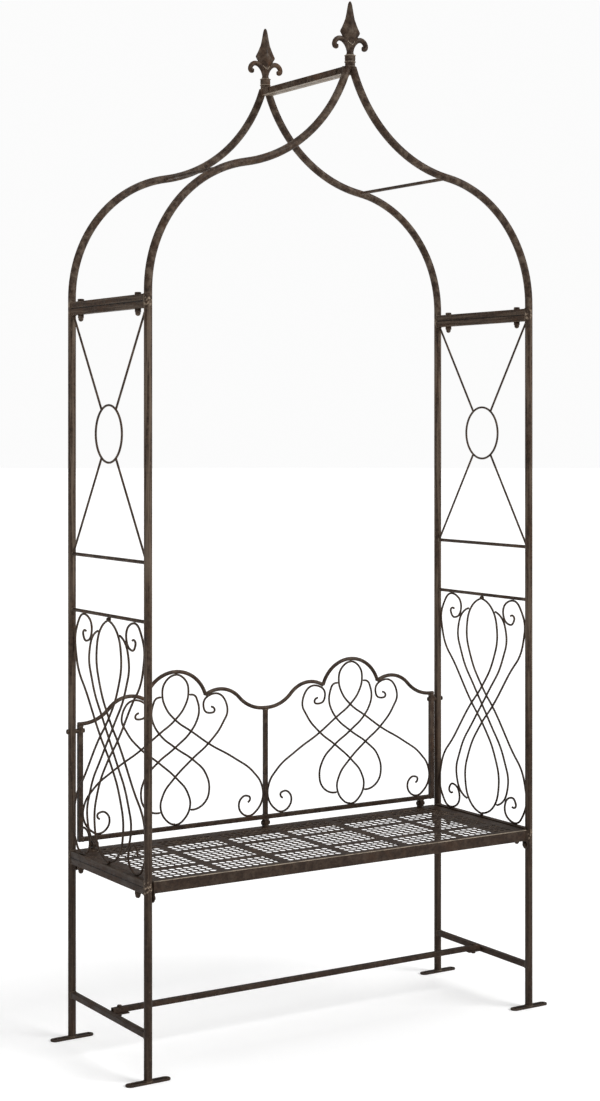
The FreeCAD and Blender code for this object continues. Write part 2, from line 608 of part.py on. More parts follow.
def arch():
    """Four bent tubes, the beams that join them in pairs, and the cross bars."""
    edges, crossing, apex = arch_centreline()
    radius, wall = size(TUBE_R), size("sizes.tube_wall")
    beam = size("sizes.beam_size")
    cross_bars, ridge_bars = [], []
    full = swept(edges, radius)
    hollow = full.cut(swept(edges, radius - wall))
    top = apex.y + beam / 2
    depth = size("sizes.tube_diameter")
    keep = Part.makeBox(size("sizes.post_spacing_x"), top, 2 * depth, Vector(0, 0, -depth))
    tube, tool = hollow.common(keep), full.common(keep)
    half_depth = size(POST_Y)
    for side_name, side in SIDES:
        turned = 0 if side > 0 else 180
        tools = []
        for end_name, end in ENDS:
            name = f"arch_tube_{end_name}_{side_name}"
            node(name, made(name, stood_up(tube, 0, end * half_depth, 0, turned)))
            tools.append(made(name + "_tool", stood_up(tool, 0, end * half_depth, 0, turned)))
        name = f"arch_cross_bar_{side_name}"
        bar = cylinder(name + "_bar", BAR_R, "sizes.post_spacing_y",
                       (side * crossing.x, f"-{POST_Y}", crossing.y), ALONG_Y)
        cross_bars.append(cut(name, bar, tools))
        name = f"ridge_bar_{side_name}"
        low_x = 0 if side > 0 else -beam
        start_y, length = f"{TUBE_R} / 2 - {POST_Y}", f"sizes.post_spacing_y - {TUBE_R}"
        outside = box(name + "_outside", (low_x, start_y, top - beam),
                      ("sizes.beam_size", length, "sizes.beam_size"))
        hollow_size = "sizes.beam_size - 2 * sizes.beam_wall"
        inside = box(name + "_inside", (f"{low_x} + sizes.beam_wall", start_y,
                                        f"{top - beam} + sizes.beam_wall"),
                     (hollow_size, length, hollow_size))
        holes = [cylinder(f"{name}_{end_name}_hole", SCREW_HOLE_R, "sizes.beam_size",
                          (low_x, f"{end} * ({POST_Y} - sizes.ridge_bolt_inset)", top - beam / 2), ALONG_X)
                 for end_name, end in ENDS]
        ridge_bars.append(cut(name, outside, [inside] + holes + tools))
    node("arch_cross_bars", group("arch_cross_bars", cross_bars))
    node("ridge_bars", group("ridge_bars", ridge_bars))
    bolts, nuts = [], []
    for end_name, end in ENDS:
        y = f"{end} * ({POST_Y} - sizes.ridge_bolt_inset)"
        bolts.append(screw(f"ridge_bolt_{end_name}", ("-sizes.beam_size", y, top - beam / 2),
                           "2 * sizes.beam_size + sizes.small_nut_height", 1, "x"))
        nuts.append(small_nut(f"ridge_nut_{end_name}", ("sizes.beam_size", y, top - beam / 2), 1, "x"))
    finials(top)
    return bolts, nuts


# The casting's outlines, in millimetres from the middle of its base: the turned stem over its
# foot, the spear's corners (half width, half depth, height) and the middle of a curl
STEM_OUTLINE = [(8, 9), (7, 15), (9.5, 18), (9.5, 23), (6, 27), (5, 46), (0, 46)]
FOOT_EDGE = 5
SPEAR_SECTIONS = [(5, 4, 42), (22, 11, 79), (11, 7, 104)]
SPEAR_TIP = 1.5
CURL_MIDDLE = [(1, 28), (9, 46), (22, 60), (36, 61), (45, 51), (42, 39), (34, 39)]


def finials(base):
    """Cast finials: a turned foot, a four-sided spear and a curl to each side."""
    foot_radius = size(f"{TUBE_R} + sizes.finial_lip")
    outline = [(0, 0), (foot_radius, 0), (foot_radius, FOOT_EDGE)] + STEM_OUTLINE
    points = [Vector(across, 0, up) for across, up in outline]
    turned = Part.Face(Part.makePolygon(points + points[:1])).revolve(Vector(), Vector(0, 0, 1), 360)

    def rhombus(half_width, half_depth, height):
        corners = [Vector(half_width, 0, height), Vector(0, half_depth, height),
                   Vector(-half_width, 0, height), Vector(0, -half_depth, height)]
        return Part.makePolygon(corners + corners[:1])

    sections = SPEAR_SECTIONS + [(SPEAR_TIP, SPEAR_TIP, size("sizes.finial_height"))]
    spear = Part.makeLoft([rhombus(*section) for section in sections], True, True)
    curl = stood_up(swept(smooth_path(CURL_MIDDLE), size("sizes.finial_curl_diameter / 2")), 0, 0, 0)
    other = curl.mirror(Vector(), Vector(1, 0, 0))
    whole = turned.fuse([spear, curl, other])
    for end_name, end in ENDS:
        shape = whole.copy()
        shape.translate(Vector(0, end * size(POST_Y), base))
        node(f"finial_{end_name}", made(f"finial_{end_name}", shape))


# ---------------------------------------------------------------- seat

def seat_rail(label, low, lengths, hollow_axis):
    """A rectangular tube along X (hollow_axis 0) or Y (hollow_axis 1)."""
    wall = "sizes.seat_rail_wall"
    start = [f"{corner} + {wall}" for corner in low]
    inner = [f"{length} - 2 * {wall}" for length in lengths]
    start[hollow_axis], inner[hollow_axis] = low[hollow_axis], lengths[hollow_axis]
    return cut(label, box(label + "_outside", low, lengths), [box(label + "_inside", start, inner)])


def seat():
    """Four rails, the perforated sheet on them, two braces under it and the end tabs."""
    half_rail = "sizes.seat_rail_thickness / 2"
    long_rails = []
    for end_name, end in ENDS:
        depth = "sizes.seat_rail_depth" if end < 0 else "sizes.seat_rear_rail_depth"
        low = (f"-{SEAT_END_X}", f"{end} * {POST_Y} - {half_rail}", f"{SHEET_LOW} - {depth}")
        lengths = (f"2 * {SEAT_END_X}", "sizes.seat_rail_thickness", depth)
        long_rails.append(seat_rail(f"seat_rail_{end_name}", low, lengths, 0))
    node("seat_long_rails", group("seat_long_rails", long_rails))
    clear = f"({POST_Y} - {half_rail})"
    end_rails = []
    for side_name, side in SIDES:
        label = f"seat_end_rail_{side_name}"
        low_x = f"-{SEAT_END_X}" if side < 0 else f"{SEAT_END_X} - sizes.seat_rail_thickness"
        lengths = ("sizes.seat_rail_thickness", f"2 * {clear}", "sizes.seat_rail_depth")
        end_rails.append(seat_rail(label, (low_x, f"-{clear}", RAIL_LOW), lengths, 1))
    node("seat_end_rails", group("seat_end_rails", end_rails))
    braces = [box(f"seat_brace_{side_name}",
                  (f"{side} * sizes.seat_square_length - sizes.seat_brace_width / 2", f"-{clear}",
                   f"{SHEET_LOW} - sizes.seat_brace_thickness"),
                  ("sizes.seat_brace_width", f"2 * {clear}", "sizes.seat_brace_thickness"))
              for side_name, side in SIDES]
    node("seat_braces", group("seat_braces", braces))
    seat_sheet()
    return seat_tabs()


def hole_places(square, count, start, limit):
    """The holes' places along one axis, within limit of the middle; every count-th one is left out."""
    pitch = square / count
    steps = int((limit + abs(start)) / pitch) + 1
    places = [start + step * pitch for step in range(-steps, steps + 1) if step % count]
    return [place for place in places if abs(place) < limit]


def seat_sheet():
    """The sheet with its squares of round holes, set apart by the plain rows and columns."""
    half_x = size(SEAT_END_X)
    half_y = size(f"{POST_Y} + sizes.seat_rail_thickness / 2")
    radius = size("sizes.seat_hole_diameter / 2")
    edge = size("sizes.seat_rail_thickness + sizes.seat_hole_margin") + radius
    columns = hole_places(size("sizes.seat_square_length"), int(size("sizes.seat_columns")),
                          0, half_x - edge)
    rows = hole_places(size("sizes.seat_square_width"), int(size("sizes.seat_rows")),
                       size("sizes.seat_square_shift"), half_y - edge)
    against = Vector(0, 0, -1)
    holes = [Part.Wire(Part.Circle(Vector(across, along, 0), against, radius).toShape())
             for across in columns for along in rows]
    outline = Part.makePlane(2 * half_x, 2 * half_y, Vector(-half_x, -half_y, 0)).OuterWire
    sheet_face = Part.Face([outline] + holes)
    shape = sheet_face.extrude(Vector(0, 0, size("sizes.seat_sheet_thickness")))
    shape.translate(Vector(0, 0, size(SHEET_LOW)))
    node("seat_sheet", made("seat_sheet", shape))


def seat_tabs():
    """Round-ended plates at the rails' ends, screwed to the inner sides of the legs."""
    tabs, screws = [], []
    screw_z = f"({RAIL_LOW} - sizes.seat_tab_drop)"
    for side_name, side in SIDES:
        low_x = SEAT_END_X if side > 0 else f"-{SEAT_END_X} - sizes.seat_tab_thickness"
        for end_name, end in ENDS:
            name = f"seat_tab_{end_name}_{side_name}"
            y = f"{end} * {POST_Y}"
            plate = box(name + "_plate", (low_x, f"{y} - sizes.seat_tab_width / 2", screw_z),
                        ("sizes.seat_tab_thickness", "sizes.seat_tab_width", f"{SHEET_LOW} - {screw_z}"))
            tip = cylinder(name + "_tip", "sizes.seat_tab_width / 2", "sizes.seat_tab_thickness",
                           (low_x, y, screw_z), ALONG_X)
            hole = cylinder(name + "_hole", SCREW_HOLE_R, "sizes.seat_tab_thickness", (low_x, y, screw_z),
                            ALONG_X)
            tabs.append(cut(name, fuse(name + "_blank", [plate, tip]), [hole]))
            shank = "sizes.seat_tab_thickness + sizes.tube_wall + sizes.seat_screw_reach"
            screws.append(screw(f"seat_screw_{end_name}_{side_name}", (f"{side} * {SEAT_END_X}", y, screw_z),
                                shank, side, "x"))
    node("seat_tabs", group("seat_tabs", tabs))
    return screws


# ---------------------------------------------------------------- back

# The same three strands in each half of the back, as shares of its clear half width and
# half height
BACK_CURL_STRAND = [(-0.41, 0.53), (-0.445, 0.50), (-0.365, 0.455), (-0.32, 0.57), (-0.44, 0.705),
                    (-0.595, 0.48), (-0.53, 0.27), (-0.375, 0.035), (-0.19, -0.155), (0.0, -0.375),
                    (0.125, -0.575), (0.16, -0.745), (0.115, -0.905), (0.0, -1.0)]
BACK_SWEEP_STRAND = [(0.82, -0.81), (0.845, -0.76), (0.80, -0.72), (0.73, -0.77), (0.715, -0.86),
                     (0.755, -0.96), (0.83, -1.0), (0.935, -0.92), (0.995, -0.76), (0.975, -0.575),
                     (0.875, -0.395), (0.645, -0.175), (0.375, 0.035), (0.185, 0.215), (0.0, 0.39),
                     (-0.10, 0.54), (-0.15, 0.725), (-0.13, 0.89), (0.0, 1.0)]
BACK_LOOP_STRAND = [(-0.172, 0.715), (-0.205, 0.71), (-0.262, 0.585), (-0.27, 0.475), (-0.235, 0.33),
                    (-0.175, 0.215), (0.0, 0.02), (0.19, -0.155), (0.325, -0.335), (0.375, -0.54),
                    (0.35, -0.70), (0.27, -0.80), (0.172, -0.825)]


def back_half_middle():
    """The middle of the right half of the back and its clear half width."""
    inner, outer = size("sizes.centre_stile_size / 2"), size(STILE_INNER_X)
    return (inner + outer) / 2, (outer - inner) / 2


def on_circle(centre, radius, angle):
    return centre + Vector(radius * math.cos(angle), radius * math.sin(angle), 0)


def arc_between(centre, radius, start, end):
    """The arc about centre from one angle to another, in radians."""
    first, middle, last = (on_circle(centre, radius, angle) for angle in (start, (start + end) / 2, end))
    return Part.Arc(first, middle, last).toShape()


def top_rail_bars(half_width, overhang):
    """The bent top rail of one half, about its own middle: a shoulder each side and a crown.

    Each shoulder runs level over its stile, sweeps up and over a hump and stops on the
    crown's circle; the crown is shaped to the shoulders."""
    radius = size("sizes.back_top_diameter / 2")
    hump, crown = size("sizes.hump_radius"), size("sizes.crown_radius")
    hump_centre = Vector(size("sizes.hump_offset"), size("sizes.hump_rise") - hump, 0)
    crown_centre = Vector(0, size("sizes.crown_rise") - crown, 0)
    end = Vector(half_width, 0, 0)
    away = end - hump_centre
    sweep = (away.Length ** 2 - hump ** 2) / (2 * (hump - away.y))
    sweep_centre = end + Vector(0, sweep, 0)
    toward = hump_centre - sweep_centre
    toward_angle = math.atan2(toward.y, toward.x)
    between = hump_centre - crown_centre
    along = (crown ** 2 - hump ** 2 + between.Length ** 2) / (2 * between.Length)
    spread = math.acos(along / crown)
    meeting = on_circle(crown_centre, crown, math.atan2(between.y, between.x) + spread)
    meeting_angle = math.atan2(meeting.y - hump_centre.y, meeting.x - hump_centre.x)
    edges = [Part.LineSegment(end + Vector(overhang, 0, 0), end).toShape(),
             arc_between(sweep_centre, sweep, -math.pi / 2, toward_angle),
             arc_between(hump_centre, hump, toward_angle + math.pi, meeting_angle)]
    return edges, crown_centre, meeting, radius


def back():
    """Stiles, rails and scrolls of the back, its pivot tabs and its fasteners."""
    y = f"({POST_Y})"
    stiles = []
    for side_name, side in SIDES:
        low_x = STILE_INNER_X if side > 0 else f"-{STILE_OUTER_X}"
        label = f"back_stile_{side_name}"
        stile = box(label + "_bar", (low_x, f"{y} - sizes.stile_size / 2", BACK_LOW),
                    ("sizes.stile_size", "sizes.stile_size", f"{STILE_TOP} - {BACK_LOW}"))
        hole = cylinder(label + "_hole", SCREW_HOLE_R, "sizes.stile_size", (low_x, y, BACK_BOLT_Z), ALONG_X)
        stiles.append(cut(label, stile, [hole]))
    node("back_end_stiles", group("back_end_stiles", stiles))
    half = "sizes.centre_stile_size / 2"
    node("back_stile_centre", box("back_stile_centre", (f"-{half}", f"{y} - {half}", BACK_RAIL_TOP),
                                  ("sizes.centre_stile_size", "sizes.centre_stile_size",
                                   f"{STILE_TOP} - {BACK_RAIL_TOP}")))
    node("back_bottom_rail", box("back_bottom_rail",
                                 (f"-{STILE_INNER_X}", f"{y} - sizes.back_rail_size / 2", BACK_LOW),
                                 (f"2 * {STILE_INNER_X}", "sizes.back_rail_size", "sizes.back_rail_size")))
    back_top_rails()
    back_scrolls()
    return back_fasteners(y)


def back_top_rails():
    """The two bent top rails, each of two shoulders and a crown, over the three stiles."""
    middle, half_width = back_half_middle()
    level = size(STILE_TOP) + size("sizes.back_top_diameter / 2")
    outer = size("sizes.stile_size")
    inner = size("sizes.centre_stile_size / 2")
    depth = size(POST_Y)
    for side_name, side in SIDES:
        shoulders = []
        for toward, overhang in ((1, outer), (-1, inner)):
            edges, crown_centre, meeting, radius = top_rail_bars(half_width, overhang)
            bar = swept(edges, radius)
            shoulders.append(bar if toward > 0 else bar.mirror(Vector(), Vector(1, 0, 0)))
        reach = math.atan2(meeting.y - crown_centre.y, meeting.x - crown_centre.x)
        crown_arc = arc_between(crown_centre, size("sizes.crown_radius"), reach, math.pi - reach)
        crown = swept([crown_arc], radius)
        shoulders = [shoulder.cut(crown) for shoulder in shoulders]
        shape = Part.Compound(shoulders + [crown])
        if side < 0:
            shape = shape.mirror(Vector(), Vector(1, 0, 0))
        label = f"back_top_rail_{side_name}"
        node(label, made(label, stood_up(shape, side * middle, depth, level)))


def back_scrolls():
    """The crossing scrolls in each half of the back."""
    middle, half_width = back_half_middle()
    gap = size(WIRE_R)
    low = size(BACK_RAIL_TOP) + gap
    crown = size(STILE_TOP) + size("sizes.back_top_diameter / 2") + size("sizes.crown_rise")
    high = crown - size("sizes.back_top_diameter / 2") - gap
    strands = [(BACK_CURL_STRAND, Vector(-1, 0, 0)), (BACK_SWEEP_STRAND, Vector(1, 0, 0)),
               (BACK_LOOP_STRAND, None)]
    bars = scroll_strands(strands, half_width - gap - size("sizes.joint_clearance"), low, high)
    for side_name, side in SIDES:
        shapes = [stood_up(bar, side * middle, size(POST_Y), 0) for bar in mirrored_pair(bars)]
        label = f"back_scrolls_{side_name}"
        node(label, made(label, Part.Compound(shapes)))


def back_fasteners(y):
    """Three tab pairs between bottom rail and seat, and the bolts at the top corners."""
    tabs, bolts, nuts = [], [], []
    thick, wide = "sizes.pivot_tab_thickness", "sizes.pivot_tab_width"
    tall = "(sizes.back_rail_lift - sizes.pivot_tab_clearance)"
    for place_name, place_x in (("left", -1), ("middle", 0), ("right", 1)):
        name = f"pivot_{place_name}"
        x = f"{place_x} * sizes.pivot_offset"
        levels = (("upper", x, f"{BACK_LOW} - {tall}"), ("lower", f"{x} - {thick}", SEAT_TOP))
        for tab_name, tab_x, tab_low in levels:
            plate = box(f"{name}_{tab_name}_plate", (tab_x, f"{y} - {wide} / 2", tab_low),
                        (thick, wide, tall))
            hole = cylinder(f"{name}_{tab_name}_hole", SCREW_HOLE_R, thick, (tab_x, y, PIVOT_Z), ALONG_X)
            tabs.append(cut(f"{name}_{tab_name}_tab", plate, [hole]))
        bolts.append(screw(name + "_bolt", (f"{x} - {thick}", y, PIVOT_Z),
                           f"2 * {thick} + sizes.small_nut_height", 1, "x"))
        nuts.append(small_nut(name + "_nut", (f"{x} + {thick}", y, PIVOT_Z), 1, "x"))
    node("back_pivot_tabs", group("back_pivot_tabs", tabs))
    return bolts, nuts


def back_corner_bolts():
    """A long bolt through each rear post and end stile, with a spacer between the two."""
    bolts, nuts, spacers = [], [], []
    y = f"({POST_Y})"
    for side_name, side in SIDES:
        name = f"back_corner_{side_name}"
        outer = f"{side} * ({POST_X} + {TUBE_R})"
        length = f"(sizes.tube_diameter + sizes.stile_gap + sizes.stile_size + sizes.small_nut_height)"
        bolts.append(screw(name + "_bolt", (outer, y, BACK_BOLT_Z), length, -side, "x"))
        nuts.append(small_nut(name + "_nut", (f"{side} * {STILE_INNER_X}", y, BACK_BOLT_Z), -side, "x"))
        spacer_length = f"(sizes.stile_gap + {TUBE_R})"
        low_x = STILE_OUTER_X if side > 0 else f"-{STILE_OUTER_X} - {spacer_length}"
        blank = cylinder(name + "_blank", "sizes.screw_across / 2", spacer_length, (low_x, y, BACK_BOLT_Z),
                         ALONG_X)
        bore = cylinder(name + "_bore", SCREW_HOLE_R, spacer_length, (low_x, y, BACK_BOLT_Z), ALONG_X)
        spacers.append(cut(name + "_spacer", blank, [bore, post_axis(name + "_post_tool", side, 1)]))
    node("back_spacers", group("back_spacers", spacers))
    return bolts, nuts


# ---------------------------------------------------------------- the whole object

def build():
    side_bars, scroll_bars, lattice_bars, rings, rods = [], [], [], [], []
    for side_name, side in SIDES:
        for end_name, end in ENDS:
            foot(side_name, side, end_name, end)
            leg(side_name, side, end_name, end)
            post(side_name, side, end_name, end)
        side_bars.append(side_bar(side_name, side))
        stack_beam(f"leg_top_beam_{side_name}", side, "(sizes.leg_height - sizes.beam_size)")
        stack_beam(f"side_bottom_beam_{side_name}", side, "sizes.leg_height", bolted=False)
        stack_beam(f"side_top_beam_{side_name}", side, f"({FRAME_TOP} - sizes.beam_size)")
        stack_beam(f"arch_base_beam_{side_name}", side, FRAME_TOP)
        scroll_bars.append(round_bar(f"scroll_bar_{side_name}", side, "sizes.scroll_bar_height"))
        lattice_bars.append(round_bar(f"lattice_bar_{side_name}", side, "sizes.lattice_bar_height"))
        ring, four_rods = lattice(side_name, side)
        rings.append(ring)
        rods += four_rods
    node("leg_side_bars", group("leg_side_bars", side_bars))
    node("scroll_bars", group("scroll_bars", scroll_bars))
    node("lattice_bars", group("lattice_bars", lattice_bars))
    node("lattice_rings", group("lattice_rings", rings))
    node("lattice_rods", group("lattice_rods", rods))
    side_scrolls()
    stack_fasteners()
    stretcher_bolts, stretcher_nuts = stretcher()
    ridge_bolts, ridge_nuts = arch()
    seat_screws = seat()
    pivot_bolts, pivot_nuts = back()
    corner_bolts, corner_nuts = back_corner_bolts()
    node("stretcher_bolts", group("stretcher_bolts", stretcher_bolts))
    node("ridge_bolts", group("ridge_bolts", ridge_bolts))
    node("seat_screws", group("seat_screws", seat_screws))
    node("pivot_bolts", group("pivot_bolts", pivot_bolts))
    node("back_corner_bolts", group("back_corner_bolts", corner_bolts))
    node("small_nuts", group("small_nuts", stretcher_nuts + ridge_nuts + pivot_nuts + corner_nuts))


def check_and_write():
    """Stop on any failed object or bad shape, then write one STEP file for each node."""
    doc.recompute()
    failed = [thing.Name for thing in doc.Objects if {"Invalid", "Error"} & set(thing.State)]
    if failed:
        raise RuntimeError(f"objects that failed: {failed}")
    for thing in NODES:
        if thing.Shape.isNull() or not thing.Shape.isValid() or not thing.Shape.Solids:
            raise RuntimeError(f"{thing.Label} has no valid solid")
    os.makedirs("parts", exist_ok=True)
    for thing in NODES:
        thing.Shape.exportStep(f"parts/{thing.Label}.step")
    print(len(NODES), "nodes,", sum(len(thing.Shape.Solids) for thing in NODES), "solids")


build()
check_and_write()
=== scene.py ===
import json
import math
import random

import bmesh
import bpy
from mathutils import Matrix, Vector, noise
from mathutils.bvhtree import BVHTree


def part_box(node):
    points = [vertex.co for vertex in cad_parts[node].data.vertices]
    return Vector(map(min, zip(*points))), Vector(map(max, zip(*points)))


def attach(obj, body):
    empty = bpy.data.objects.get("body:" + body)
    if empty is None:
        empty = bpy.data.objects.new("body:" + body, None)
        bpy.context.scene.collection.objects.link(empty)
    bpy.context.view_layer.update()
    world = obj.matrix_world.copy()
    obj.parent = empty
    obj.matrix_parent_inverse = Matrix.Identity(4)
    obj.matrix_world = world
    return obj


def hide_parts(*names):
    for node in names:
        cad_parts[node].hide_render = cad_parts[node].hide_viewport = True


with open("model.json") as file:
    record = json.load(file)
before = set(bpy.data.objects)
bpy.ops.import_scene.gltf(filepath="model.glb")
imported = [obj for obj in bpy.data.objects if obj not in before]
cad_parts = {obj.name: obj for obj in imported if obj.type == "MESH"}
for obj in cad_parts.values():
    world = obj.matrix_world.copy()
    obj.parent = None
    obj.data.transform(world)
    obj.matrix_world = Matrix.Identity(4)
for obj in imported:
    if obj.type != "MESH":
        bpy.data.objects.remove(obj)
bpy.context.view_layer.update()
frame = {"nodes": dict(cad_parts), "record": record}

MM = 0.001
SIDES = (("left", -1), ("right", 1))
ENDS = (("front", -1), ("rear", 1))
RANDOM_SEED = 7

# ---------------------------------------------------------------- places read from the frame

POST_LOW, POST_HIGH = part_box("post_front_right")
POST_X = (POST_LOW.x + POST_HIGH.x) / 2
POST_Y = -(POST_LOW.y + POST_HIGH.y) / 2
TUBE_R = (POST_HIGH.x - POST_LOW.x) / 2
SHEET_LOW, SHEET_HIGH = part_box("seat_sheet")
# Leg frames, side frames and arch stand on each other and meet at these two heights.
JOINT_LEVELS = (POST_LOW.z, POST_HIGH.z)


# ---------------------------------------------------------------- materials

# Linear colours of the paint and its wear. deep also serves as the painted shade near the ground,
# bare also as the painted bounce light on undersides, and gap is the painted shade of the dark
# line between two bars.
PAINT = {
    "deep": (0.0155, 0.0088, 0.0056),
    "brown": (0.0520, 0.0315, 0.0200),
    "rust": (0.0860, 0.0420, 0.0210),
    "grey": (0.1300, 0.0980, 0.0720),
    "worn": (0.2900, 0.2250, 0.1650),
    "bare_and_bounce_light": (0.4200, 0.3500, 0.2700),
    "seam_shade": (0.0040, 0.0026, 0.0018),
}
# Scale, detail, roughness and distortion of each noise, from the widest to the finest.
NOISES = {
    "clouds": (7.0, 5.0, 0.62, 0.6),
    "patches": (31.0, 5.0, 0.65, 0.4),
    "rubs": (46.0, 6.0, 0.70, 0.0),
    "mottle": (120.0, 4.0, 0.65, 0.0),
    "spots": (150.0, 4.0, 0.60, 0.0),
    "streaks": (190.0, 3.0, 0.60, 0.0),
    "chips": (210.0, 5.0, 0.70, 0.0),
    "grain": (900.0, 2.0, 0.50, 0.0),
}
# Heights in metres over which painted shade darkens the paint, from its darkest near the ground to
# its full colours; the rubs fade in over the same heights.
SHADE_AND_RUB_FROM, SHADE_AND_RUB_TO = 0.10, 1.20
# How far rubbed joints, the painted shade of the dark lines between bars, and rubbed rims reach.
JOINT_REACH, SEAM_REACH, RIM_REACH = 22 * MM, 2.1 * MM, 4.5 * MM
# The bump distance of each noise that roughens the surface.
PATCH_RELIEF, MOTTLE_RELIEF, GRAIN_RELIEF = 0.9 * MM, 0.4 * MM, 0.12 * MM
SPECULAR_LEVEL = 0.13
BEVEL_SAMPLES = 4


class Graph:
    """A material's node tree with short calls for the nodes that the paints use."""

    def __init__(self, name):
        self.material = bpy.data.materials.new(name)
        self.material.use_nodes = True
        self.tree = self.material.node_tree
        self.tree.nodes.clear()
        output = self.node("OutputMaterial")
        self.shader = self.node("BsdfPrincipled")
        self.link(self.shader.outputs["BSDF"], output.inputs["Surface"])
        self.place = self.node("TexCoord").outputs["Object"]

    def node(self, kind):
        return self.tree.nodes.new("ShaderNode" + kind)

    def link(self, source, target):
        self.tree.links.new(source, target)

    def noise(self, kind, stretch=None):
        """One of NOISES over the object, drawn out along an axis by the stretch."""
        place = self.place
        if stretch:
            mapping = self.node("Mapping")
            mapping.inputs["Scale"].default_value = stretch
            self.link(place, mapping.inputs["Vector"])
            place = mapping.outputs["Vector"]
        node = self.node("TexNoise")
        for field, number in zip(("Scale", "Detail", "Roughness", "Distortion"), NOISES[kind]):
            node.inputs[field].default_value = number
        self.link(place, node.inputs["Vector"])
        return node.outputs["Fac"]

    def between(self, value, low, high, to_low=0.0, to_high=1.0):
        """Value stretched from low..high to another range and held there."""
        node = self.node("MapRange")
        node.interpolation_type = "SMOOTHSTEP"
        for field, number in (("From Min", low), ("From Max", high),
                              ("To Min", to_low), ("To Max", to_high)):
            node.inputs[field].default_value = number
        self.link(value, node.inputs["Value"])
        return node.outputs["Result"]

    def math(self, operation, first, second=0):
        node = self.node("Math")
        node.operation = operation
        for socket, value in zip(node.inputs, (first, second)):
            if isinstance(value, (int, float)):
                socket.default_value = value
            else:
                self.link(value, socket)
        return node.outputs[0]

    def times(self, first, second):
        return self.math("MULTIPLY", first, second)

    def most(self, first, second):
        return self.math("MAXIMUM", first, second)

    def mix(self, share, first, second):
        """A share of the second colour over the first."""
        node = self.node("Mix")
        node.data_type = "RGBA"
        self.link(share, node.inputs["Factor"])
        for socket, value in (("A", first), ("B", second)):
            target = [s for s in node.inputs if s.name == socket and s.type == "RGBA"][0]
            if isinstance(value, tuple):
                target.default_value = (*value, 1.0)
            else:
                self.link(value, target)
        return [s for s in node.outputs if s.type == "RGBA"][0]

    def edges(self, radius):
        """Near 1 where the surface turns sharply within the radius, near 0 where it's flat."""
        bevel = self.node("Bevel")
        bevel.samples = BEVEL_SAMPLES
        bevel.inputs["Radius"].default_value = radius
        dot = self.node("VectorMath")
        dot.operation = "DOT_PRODUCT"
        self.link(bevel.outputs["Normal"], dot.inputs[0])
        self.link(self.node("NewGeometry").outputs["Normal"], dot.inputs[1])
        return self.between(dot.outputs["Value"], 0.995, 0.80)

    def coordinate(self, axis="Z"):
        """One coordinate of the place on the object."""
        split = self.node("SeparateXYZ")
        self.link(self.place, split.inputs["Vector"])
        return split.outputs[axis]

    def facing_down(self):
        """1 on undersides, 0 elsewhere."""
        split = self.node("SeparateXYZ")
        self.link(self.node("NewGeometry").outputs["Normal"], split.inputs["Vector"])
        return self.between(split.outputs["Z"], -0.55, -0.80)

    def near_levels(self, levels, reach, axis="Z"):
        """1 at any of the levels on an axis, falling to 0 within reach of it."""
        coordinate = self.coordinate(axis)
        total = None
        for level in levels:
            away = self.math("ABSOLUTE", self.math("SUBTRACT", coordinate, level))
            close = self.between(away, reach, 0.0)
            total = close if total is None else self.most(total, close)
        return total

    def bump(self, layers):
        """Bump nodes in a chain, each a height, its strength and its distance."""
        normal = None
        for value, strength, distance in layers:
            node = self.node("Bump")
            node.inputs["Strength"].default_value = strength
            node.inputs["Distance"].default_value = distance
            self.link(value, node.inputs["Height"])
            if normal is not None:
                self.link(normal, node.inputs["Normal"])
            normal = node.outputs["Normal"]
        self.link(normal, self.shader.inputs["Normal"])


def rubbed_share(graph, shade_and_rub_height, wear, streaks):
    """Where the paint is greyed by rubbing, in patches or in streaks along a tube."""
    rubbed = graph.between(graph.noise("rubs"), 0.44, 0.66)
    if streaks:
        lengthwise = graph.between(graph.noise("streaks", streaks), 0.44, 0.62)
        rubbed = graph.most(graph.times(rubbed, 0.4), lengthwise)
    # The rubs fade towards the bottom along the same height ramp as the painted shade.
    rubbed = graph.times(rubbed, graph.between(shade_and_rub_height, 0.0, 1.0, 0.25, 1.0))
    return graph.times(rubbed, 0.95 * wear)


def worn_share(graph, patches, wear, edge, joints):
    """Where the paint is worn through: small chips, sharp edges and joints."""
    worn = graph.times(graph.between(graph.noise("chips"), 0.60, 0.70), 0.30 * wear)
    if edge:
        worn = graph.most(worn, graph.times(graph.edges(edge), graph.between(patches, 0.42, 0.66)))
    if joints:
        spots = graph.between(graph.noise("spots"), 0.50, 0.62)
        worn = graph.most(worn, graph.times(graph.near_levels(joints, JOINT_REACH), spots))
    return worn


